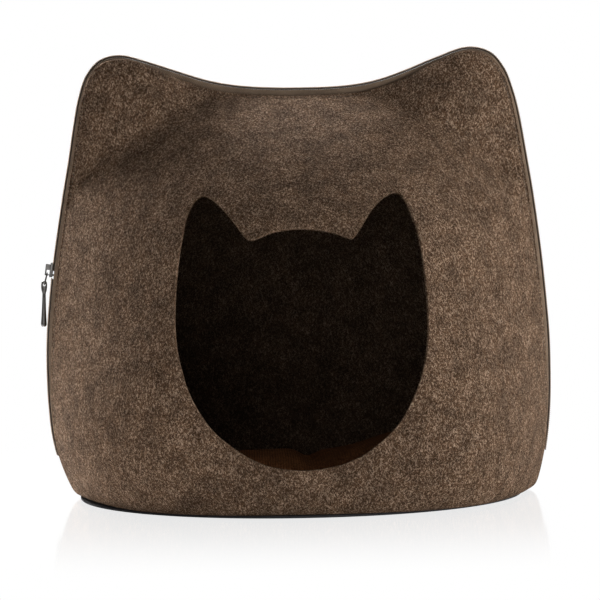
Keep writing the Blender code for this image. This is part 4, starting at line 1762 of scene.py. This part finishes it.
@dataclass
class SliderParts:
    """The slider, its wire link and the drop-shaped pull."""

    form: CaveForm
    zip: ZipLayout
    link_wire: float = 1.0 * MM
    link_length: float = 10.5 * MM
    link_width: float = 5.6 * MM
    link_lean: float = 2.9 * MM
    pull_lean: float = 1.2 * MM
    eye_radius: float = 1.15 * MM
    eye_drop: float = 3.4 * MM
    flange_thickness: float = 0.75 * MM
    flange_drop: float = 1.2 * MM
    overlap: float = 0.4 * MM
    flange_step: float = 0.3 * MM
    voxel: float = 0.13 * MM
    slider_rounds: int = 5
    pull_rounds: int = 3
    link_steps: int = 72
    link_sides: int = 14
    link_squareness: float = 0.8
    pull_steps: int = 6
    pull_sides: int = 40
    eye_cutter_length: float = 10 * MM

    def frame(self) -> tuple[Vector, Vector, Vector]:
        """The slider's point on the zip line, its outward direction and its direction up the zip.

        Returns:
            The point and the two directions.
        """
        direction = np.array(self.zip.slider_direction(self.form))
        x, z = self.form.zip_point(direction)
        out_x, out_z = self.form.zip_outward(direction)
        upwards = Vector((-out_z, 0, out_x)) * (-1 if out_x < 0 else 1)
        return Vector((x, 0, z)), Vector((out_x, 0, out_z)), upwards

    def rounded_box(
        self,
        made: bmesh.types.BMesh,
        low: tuple[float, float, float],
        high: tuple[float, float, float],
        edge: float,
        foot_width: float,
        head_width: float,
    ) -> None:
        """A box with rounded edges in the mesh.

        Args:
            made: the mesh.
            low: the box's lowest corner.
            high: its highest corner.
            edge: the rounding's radius.
            foot_width: the share of its width that its lower end has.
            head_width: the share of its width that its upper end has.
        """
        corners = []
        for x in (low[0], high[0]):
            share = foot_width if x == low[0] else head_width
            corners += [
                made.verts.new((x, y * share, z)) for y in (low[1], high[1]) for z in (low[2], high[2])
            ]
        hull = bmesh.ops.convex_hull(made, input=corners)
        faces = [part for part in hull["geom"] if isinstance(part, bmesh.types.BMFace)]
        bmesh.ops.dissolve_limit(
            made, angle_limit=radians(2), verts=corners, edges=list({e for f in faces for e in f.edges})
        )
        edges = list({e for corner in corners if corner.is_valid for e in corner.link_edges})
        bmesh.ops.bevel(made, geom=edges, offset=edge, segments=4, profile=0.5, affect="EDGES")

    def cast(self, mesh: bpy.types.Mesh, rounds: int, hole: bpy.types.Mesh | None = None) -> bpy.types.Mesh:
        """One closed, softly rounded surface round overlapping forms, as a casting has.

        Args:
            mesh: the overlapping forms, in millimetres.
            rounds: how many times the surface is smoothed.
            hole: a form that is cut out of them first.

        Returns:
            The surface's mesh, in millimetres.
        """
        placed = [bpy.data.objects.new(form.name, form) for form in (mesh, hole) if form is not None]
        body, cutters = placed[0], placed[1:]
        for form in placed:
            bpy.context.scene.collection.objects.link(form)
        for cutter in cutters:
            cut = body.modifiers.new("hole", "BOOLEAN")
            cut.operation = "DIFFERENCE"
            cut.object = cutter
        remesh = body.modifiers.new("cast", "REMESH")
        remesh.mode = "VOXEL"
        remesh.voxel_size = self.voxel * MM_PER_M
        soften = body.modifiers.new("soften", "SMOOTH")
        soften.factor = 0.5
        soften.iterations = rounds
        bpy.context.view_layer.update()
        graph = bpy.context.evaluated_depsgraph_get()
        surface = bpy.data.meshes.new_from_object(body.evaluated_get(graph))
        for form in placed:
            bpy.data.objects.remove(form)
        return surface

    def slider_mesh(self) -> bpy.types.Mesh:
        """The slider: two plates with side flanges, the neck between them and the link's bridge.

        Returns:
            The mesh.
        """
        layout = self.zip
        half = layout.slider_length / 2
        outer_low = layout.coil_top + layout.clearance
        outer_high = outer_low + layout.plate_thickness
        inner_high = -layout.tape_below_coil - layout.tape_thickness - layout.clearance
        inner_low = inner_high - layout.plate_thickness
        wide, inside = layout.slider_width / 2, layout.slider_inner_width / 2
        top = outer_high + layout.bridge_height
        narrow, neck = layout.bridge_width / 2, layout.neck_half_width
        foot, head = -half + layout.neck_inset, half - layout.bridge_setback
        neck_end, bar = foot + layout.neck_length, layout.bridge_bar
        flange, drop, rim = self.flange_thickness, outer_low - self.flange_drop, outer_high - self.flange_step
        neck_low, neck_high = inner_high - self.overlap, outer_low + self.overlap
        root = outer_high - self.overlap
        # (lowest corner, highest corner, rounding in mm, width's share at the foot and at the head)
        boxes = (
            ((-half, -wide, outer_low), (half, wide, outer_high), 0.45, 1.0, 0.86),
            ((-half, wide - flange, drop), (half, wide, rim), 0.3, 1.0, 0.86),
            ((-half, -wide, drop), (half, -wide + flange, rim), 0.3, 1.0, 0.86),
            ((-half, -inside, inner_low), (half, inside, inner_high), 0.4, 1.0, 0.9),
            ((foot, -neck, neck_low), (neck_end, neck, neck_high), 0.2, 1.0, 1.0),
            ((head - layout.bridge_head, -narrow, root), (head, narrow, top), 0.45, 1.0, 1.0),
            ((foot, -narrow, root), (foot + bar, narrow, top), 0.45, 1.0, 1.0),
            ((foot, -narrow, top - bar), (head, narrow, top), 0.5, 1.0, 1.0),
        )
        made = bmesh.new()
        for low, high, edge, foot_width, head_width in boxes:
            low, high = (tuple(value * MM_PER_M for value in corner) for corner in (low, high))
            self.rounded_box(made, low, high, edge, foot_width, head_width)
        forms = bpy.data.meshes.new("slider")
        made.to_mesh(forms)
        made.free()
        mesh = self.cast(forms, self.slider_rounds)
        origin, outwards, upwards = self.frame()
        for vertex in mesh.vertices:
            along, across, out = vertex.co / MM_PER_M
            vertex.co = origin + upwards * along + Vector((0, across, 0)) + outwards * out
        return mesh

    def link_ends(self) -> tuple[Vector, Vector]:
        """The link's highest point under the bridge and its foot, where the pull hangs.

        Returns:
            The top and the foot.
        """
        layout = self.zip
        origin, outwards, upwards = self.frame()
        wire = self.link_wire / 2 + layout.clearance
        plate = layout.coil_top + layout.clearance + layout.plate_thickness
        under_bridge = plate + layout.bridge_height - layout.bridge_bar - wire
        foot = -layout.slider_length / 2 + layout.neck_inset
        beside_foot = foot + layout.bridge_bar + wire + layout.clearance
        top = origin + outwards * under_bridge + upwards * beside_foot
        return top, top + Vector((-self.link_lean, 0, -self.link_length))

    def link_mesh(self) -> bpy.types.Mesh:
        """The wire link between the slider's bridge and the pull's eye, an upright oval.

        Returns:
            The mesh.
        """
        top, foot = (np.array(end) for end in self.link_ends())
        turn = np.arange(self.link_steps) * tau / self.link_steps
        waves = (np.sin(turn), np.cos(turn))
        across, along = (np.abs(wave) ** self.link_squareness * np.sign(wave) for wave in waves)
        middle, half_length = (top + foot) / 2, (top - foot) / 2
        half_width = np.array([0, self.link_width / 2, 0])
        path = middle + half_length * along[:, None] + half_width * across[:, None]
        for _ in range(3):
            path = (np.roll(path, 1, 0) + 2 * path + np.roll(path, -1, 0)) / 4
        spoke = np.cross(half_length, half_width)
        spoke /= np.linalg.norm(spoke)
        points = tube_grid(path, self.link_wire / 2, spoke, self.link_sides, closed=True)
        return grid_mesh("pull_link", points, ring_closed=True, row_closed=True)

    def pull_mesh(self) -> bpy.types.Mesh:
        """The pull: a flat eye that widens into a round drop, with a hole from front to back for the link.

        Returns:
            The mesh.
        """
        _, hang = self.link_ends()
        sections = smooth_curve(np.array(PULL_SECTIONS), self.pull_steps, closed=False)
        drop, wide, deep = (sections[:, k : k + 1] for k in range(3))
        turn = np.arange(self.pull_sides) * tau / self.pull_sides
        lean = self.pull_lean * MM_PER_M * drop / PULL_SECTIONS[-1][0]
        x = hang.x * MM_PER_M - lean + wide * np.cos(turn)
        y = deep * np.sin(turn)
        z = np.broadcast_to((hang.z + self.eye_drop) * MM_PER_M - drop, x.shape)
        body = grid_mesh("pull_body", np.stack([x, y, z], -1), ring_closed=False, row_closed=True)
        made = bmesh.new()
        radius = self.eye_radius * MM_PER_M
        bmesh.ops.create_cone(
            made, cap_ends=True, segments=self.pull_sides, radius1=radius, radius2=radius,
            depth=self.eye_cutter_length * MM_PER_M,
            matrix=Matrix.Translation(hang * MM_PER_M) @ Matrix.Rotation(pi / 2, 4, "X"),
        )
        hole = bpy.data.meshes.new("eye_hole")
        made.to_mesh(hole)
        made.free()
        pull = self.cast(body, self.pull_rounds, hole)
        pull.transform(Matrix.Scale(1 / MM_PER_M, 4))
        return pull

    def build(self, metal: bpy.types.Material) -> list[bpy.types.Object]:
        """Builds the slider, the link and the pull.

        Args:
            metal: the metal's material.

        Returns:
            The objects.
        """
        return [
            add_piece("slider", self.slider_mesh(), metal, ("zip_slider",)),
            add_piece("pull_link", self.link_mesh(), metal, ("zip_link",)),
            add_piece("pull", self.pull_mesh(), metal, ("zip_pull",)),
        ]


# ---------------- Base cloth and cushion ----------------


@dataclass
class BaseCloth:
    """The thin black cloth under both shells, an oval with a soft edge. Its near-black edge, which shows as a
    dark line along the foot, is partly the cloth and partly a painted contact shadow.
    """

    half_width: float = 193 * MM
    half_depth: float = 150 * MM
    squareness: float = 2.05
    thickness: float = 2.0 * MM
    edge: float = 0.8 * MM
    spokes: int = 240
    rings: int = 16
    edge_steps: int = 9
    middle_share: float = 0.02

    def mesh(self) -> bpy.types.Mesh:
        """Rings from the middle of the underside, round the edge, to the middle of the top.

        Returns:
            The mesh.
        """
        turn = np.arange(self.spokes) * tau / self.spokes
        across, deep = np.cos(turn), np.sin(turn)
        power = self.squareness
        reach = (np.abs(across) ** power + np.abs(deep) ** power) ** (-1 / power)
        outline = np.stack([self.half_width * reach * across, self.half_depth * reach * deep], -1)
        inward = -outline / np.linalg.norm(outline, axis=1, keepdims=True)
        bend = np.linspace(0, pi, self.edge_steps)
        shares = np.linspace(self.middle_share, 1, self.rings)
        rings = []
        for share in shares[:-1]:
            rings.append(np.column_stack([outline * share, np.zeros(self.spokes)]))
        for angle in bend:
            rim = outline + inward * self.edge * (1 - sin(angle))
            rings.append(np.column_stack([rim, np.full(self.spokes, self.thickness * (1 - cos(angle)) / 2)]))
        for share in shares[-2::-1]:
            rings.append(np.column_stack([outline * share, np.full(self.spokes, self.thickness)]))
        return grid_mesh("base_layer", np.stack(rings), ring_closed=False, row_closed=True)

    def build(self, cloth: bpy.types.Material) -> bpy.types.Object:
        """Args:
            cloth: the cloth's material.

        Returns:
            The object.
        """
        piece = add_piece("base_layer", self.mesh(), cloth, ("base_cloth",))
        return piece


@dataclass
class PlushCushion:
    """The filled cushion: ribbed plush on the left, a crease, and a smoother, climbing side on the right."""

    form: CaveForm
    half_width: float = 178 * MM
    half_depth: float = 130 * MM
    thickness: float = 31 * MM
    squareness: float = 2.2
    side_share: float = 0.36
    crown: float = 3.2
    shoulder: float = 0.55
    underside: float = 8
    slope: float = 0.065
    clearance: float = 0.35 * MM
    crease_x: float = 8 * MM
    crease_depth: float = 8 * MM
    crease_half_width: float = 10 * MM
    climb_start: float = 22 * MM
    climb_width: float = 115 * MM
    climb_height: float = 31 * MM
    rib_pitch: float = 2.2 * MM
    rib_height: float = 0.7 * MM
    rib_end: float = 14 * MM
    rib_blend: float = 16 * MM
    rib_sway: float = 0.35
    tuft_height: float = 0.35 * MM
    swell_height: float = 0.9 * MM
    pucker_count: float = 34
    pucker_depth: float = 0.9 * MM
    columns: int = 760
    top_rows: int = 60
    under_rows: int = 16

    def lift(self, x: np.ndarray, y: np.ndarray) -> np.ndarray:
        """How the top departs from even: a slope to the back, a crease and a side that climbs.

        Args:
            x: places from left to right.
            y: places from front to back.

        Returns:
            The heights over the even top.
        """
        crease = self.crease_depth * bump((x - self.crease_x) / self.crease_half_width)
        climb = self.climb_height * smooth_step((x - self.climb_start) / self.climb_width)
        return climb - crease - self.slope * y

    def mesh(self) -> bpy.types.Mesh:
        """The cushion's mesh, section by section along its width.

        Returns:
            The mesh.
        """
        turn = np.linspace(0, pi, self.columns + 2)[1:-1]
        even = -1 + 2 * (turn - turn[0]) / (turn[-1] - turn[0])
        x = self.half_width * (0.75 * even * 0.9985 + 0.25 * -np.cos(turn))[:, None]
        across = (np.abs(x) / self.half_width) ** self.squareness
        half_depth = self.half_depth * (1 - across) ** (1 / self.squareness)
        bottom = self.form.felt_underside + self.form.felt_thickness + self.clearance
        side = self.thickness * self.side_share
        over = -np.cos(np.linspace(0, pi, self.top_rows))[None, :]
        back = np.cos(np.linspace(0, pi, self.under_rows))[None, 1:-1]

        def reach_of(y: np.ndarray) -> np.ndarray:
            """How far a point lies from the middle towards the cushion's outline, 1 on it."""
            reach = across + (np.abs(y) / self.half_depth) ** self.squareness
            return np.minimum(reach, 1) ** (1 / self.squareness)

        y_top = half_depth * over
        reach = reach_of(y_top)
        crown = (1 - reach**self.crown) ** self.shoulder
        top = bottom + side + (self.thickness - side + self.lift(x, y_top)) * crown
        place = np.stack(np.broadcast_arrays(x, y_top, top), -1)
        inside = smooth_step((1 - reach) / 0.16)
        left = smooth_step((self.rib_end - x) / self.rib_blend)
        wave = x / self.rib_pitch + self.rib_sway * ripple(place, 30 * MM, 5.0)
        rib = np.abs(np.cos(pi * wave)) ** 0.8
        tuft = ripple(place, 4.0 * MM, 1.7)
        soft = ripple(place, 26 * MM, 9.2)
        ribbed = self.rib_height * (rib - 1) * (0.25 + 0.75 * left)
        shift = (ribbed + self.tuft_height * tuft + self.swell_height * (soft - 0.3)) * inside
        pucker_turn = np.arctan2(y_top, x) * self.pucker_count
        pucker = self.pucker_depth * (np.cos(pucker_turn + 2 * soft) - 1) * bump((reach - 0.93) / 0.07)
        top = top + shift + pucker * (crown > 0)
        y_under = half_depth * back
        under_reach = reach_of(y_under)
        under = bottom + side * (1 - np.sqrt(np.maximum(1 - under_reach**self.underside, 0)))
        over_points = np.stack(np.broadcast_arrays(x, y_top, top), -1)
        under_points = np.stack(np.broadcast_arrays(x, y_under, under), -1)
        points = np.concatenate([over_points, under_points], 1)
        mesh = grid_mesh("cushion_pad", points, ring_closed=False, row_closed=True)
        # Painted light: the crest value is highest on rib crests and raised tufts.
        crest_light = np.concatenate([rib * (0.4 + 0.6 * left) + 0.3 * tuft, np.zeros(under.shape)], 1)
        add_values(mesh, "crest_light", np.clip(crest_light, 0, 1))
        return mesh

    def build(self, plush: bpy.types.Material) -> bpy.types.Object:
        """Args:
            plush: the plush's material.

        Returns:
            The object.
        """
        piece = add_piece("cushion_pad", self.mesh(), plush, ("cushion",))
        return piece


# ---------------- Studio ----------------


LIGHT_AIM = (0.0, 0.0, 0.18)


@dataclass(frozen=True)
class SoftLight:
    """A square soft light that aims at the cave.

    Its turn from the front, towards +X, and its rise over the aim are in degrees.
    """

    name: str
    turn: float
    rise: float
    distance: float
    size: float
    power: float

    def place(self) -> tuple[float, float, float]:
        """The light's place.

        Returns:
            The place, as x, y and z.
        """
        away = self.distance * cos(radians(self.rise))
        height = LIGHT_AIM[2] + self.distance * sin(radians(self.rise))
        return away * sin(radians(self.turn)), -away * cos(radians(self.turn)), height

    def build(self) -> bpy.types.Object:
        """Places the light.

        Returns:
            The object.
        """
        lamp = bpy.data.lights.new(self.name, "AREA")
        lamp.shape = "SQUARE"
        lamp.size = self.size
        lamp.energy = self.power
        light = bpy.data.objects.new(self.name, lamp)
        light.location = self.place()
        light.rotation_euler = (Vector(LIGHT_AIM) - light.location).to_track_quat("-Z", "Y").to_euler()
        light.visible_camera = False
        bpy.context.scene.collection.objects.link(light)
        return light


LIGHTS = (
    SoftLight("rim_left_low", 213, 38, 1.3, 0.4, 36.0),
    SoftLight("rim_left_high", 229, 40, 1.1, 0.4, 21.0),
    SoftLight("fill_front_low", 352, 4, 2.2, 0.9, 4.4),
    SoftLight("fill_front_high", 5, 38, 2.2, 0.9, 3.2),
    SoftLight("key_front", 52, 1, 2.2, 0.9, 20.5),
    SoftLight("key_right", 82, 3, 2.2, 0.9, 33.0),
    SoftLight("top_rear", 150, 55, 0.9, 0.4, 5.0),
)


@dataclass
class Studio:
    """The floor, the white surroundings, the lights and the camera."""

    ambient: float = 0.04
    mirrored: float = 0.5
    floor_glow: float = 0.15
    mirror_weight: float = 0.21
    mirror_start: float = 0.14
    mirror_end: float = 0.42
    mirror_width_share: float = 0.45
    mirror_roughness: float = 0.1
    floor_tone: tuple = colour(0.75, 0.75, 0.75)
    floor_half_size: float = 4.0
    floor_level: float = -0.25 * MM
    camera_place: tuple[float, float, float] = (-0.04052, -1.99649, 0.28)
    camera_aim: tuple[float, float, float] = (0.0013, 0.0, 0.16921)
    camera_roll: float = 0.95
    camera_lens: float = 137.46

    def surroundings(self) -> None:
        """A white background that lights the cave only softly."""
        world = bpy.data.worlds.new("studio_white")
        bpy.context.scene.world = world
        world.use_nodes = True
        nodes = NodeTree(world.node_tree)
        world.node_tree.nodes.clear()
        white = nodes.add("ShaderNodeBackground")
        ray = nodes.add("ShaderNodeLightPath").outputs
        glossy = nodes.maths("MULTIPLY_ADD", ray["Is Glossy Ray"], self.mirrored - self.ambient, self.ambient)
        strength = nodes.maths("MULTIPLY_ADD", ray["Is Camera Ray"], 1.0 - self.ambient, glossy)
        nodes.feed(white.inputs["Strength"], strength)
        white.inputs["Color"].default_value = colour(1.0, 1.0, 1.0)
        nodes.feed(nodes.add("ShaderNodeOutputWorld").inputs["Surface"], white.outputs[0])

    def floor(self) -> bpy.types.Object:
        """A plain white floor that mirrors the cave faintly beside it.

        Returns:
            The floor.
        """
        size = self.floor_half_size
        mesh = bpy.data.meshes.new("floor")
        corners = [(-size, -size, 0), (size, -size, 0), (size, size, 0), (-size, size, 0)]
        mesh.from_pydata(corners, [], [(0, 1, 2, 3)])
        floor = bpy.data.objects.new("floor", mesh)
        floor.location.z = self.floor_level
        bpy.context.scene.collection.objects.link(floor)
        material = bpy.data.materials.new("floor_white")
        material.use_nodes = True
        nodes = NodeTree(material.node_tree)
        material.node_tree.nodes.clear()
        glow = nodes.add("ShaderNodeEmission")
        matt = nodes.add("ShaderNodeBsdfDiffuse")
        gloss = nodes.add("ShaderNodeBsdfGlossy")
        gloss.inputs["Roughness"].default_value = self.mirror_roughness
        gloss.inputs["Color"].default_value = colour(*[1 / self.mirrored] * 3)
        seen = nodes.add("ShaderNodeLightPath").outputs["Is Camera Ray"]
        nodes.feed(matt.inputs["Color"], nodes.mixed(seen, self.floor_tone, colour(0.0, 0.0, 0.0)))
        strength = nodes.maths("MULTIPLY_ADD", seen, 1.0 - self.floor_glow, self.floor_glow)
        nodes.feed(glow.inputs["Strength"], strength)
        bright = nodes.add("ShaderNodeAddShader")
        nodes.feed(bright.inputs[0], glow.outputs[0])
        nodes.feed(bright.inputs[1], matt.outputs[0])
        parts = nodes.add("ShaderNodeSeparateXYZ")
        nodes.feed(parts.inputs[0], nodes.place())
        sideways = nodes.maths("MULTIPLY", parts.outputs[0], self.mirror_width_share)
        sideways = nodes.maths("POWER", sideways, 2.0)
        away = nodes.maths("SQRT", nodes.maths("ADD", sideways, nodes.maths("POWER", parts.outputs[1], 2.0)))
        weight = nodes.ranged(away, self.mirror_start, self.mirror_end, self.mirror_weight, 0.0)
        mirror = nodes.add("ShaderNodeMixShader")
        nodes.feed(mirror.inputs[0], weight)
        nodes.feed(mirror.inputs[1], bright.outputs[0])
        nodes.feed(mirror.inputs[2], gloss.outputs[0])
        nodes.feed(nodes.add("ShaderNodeOutputMaterial").inputs["Surface"], mirror.outputs[0])
        mesh.materials.append(material)
        return floor

    def camera(self) -> bpy.types.Object:
        """The camera at the photograph's place.

        Returns:
            The camera.
        """
        place, aim = Vector(self.camera_place), Vector(self.camera_aim)
        forward = (aim - place).normalized()
        right = forward.cross(Vector((0, 0, 1))).normalized()
        up = right.cross(forward)
        roll = radians(self.camera_roll)
        turned_right = right * cos(roll) - up * sin(roll)
        turned_up = up * cos(roll) + right * sin(roll)
        lens = bpy.data.cameras.new("camera")
        lens.lens = self.camera_lens
        lens.sensor_width = 36.0
        lens.clip_start, lens.clip_end = 0.02, 30.0
        camera = bpy.data.objects.new("camera", lens)
        turned = Matrix((turned_right, turned_up, -forward)).transposed().to_4x4()
        camera.matrix_world = Matrix.Translation(place) @ turned
        bpy.context.scene.collection.objects.link(camera)
        bpy.context.scene.camera = camera
        return camera

    def build(self) -> None:
        """Builds the studio round the cave."""
        self.surroundings()
        self.floor()
        for light in LIGHTS:
            light.build()
        self.camera()
        view = bpy.context.scene.view_settings
        view.view_transform = "Standard"
        view.look = "None"


# ---------------- The cave ----------------


def main() -> None:
    """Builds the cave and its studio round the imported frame."""
    logging.basicConfig(level=logging.INFO, format="%(message)s")
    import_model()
    form, layout, effects = CaveForm(), ZipLayout(), Effects()
    Studio().build()
    felt = FeltFinish().material(effects)
    tape = TapeFinish().material(effects)
    nylon = CoilFinish().material(effects)
    thread = ThreadFinish().material(effects)
    for side in Side:
        FeltShell(form, side).build(felt)
        ZipTape(form, layout, side).build(tape)
        SeamStitches(form, side).build(thread)
    neck = layout.neck_direction(form)
    ZipCoils(form, layout, "upper", form.zip_end, neck - layout.neck_gap).build(nylon)
    ZipCoils(form, layout, "lower", neck + layout.neck_gap, 180 - form.zip_end).build(nylon)
    SliderParts(form, layout).build(MetalFinish().material(effects))
    BaseCloth().build(BaseFinish().material(effects))
    PlushCushion(form).build(PlushFinish().material(effects))


if __name__ == "__main__":
    main()
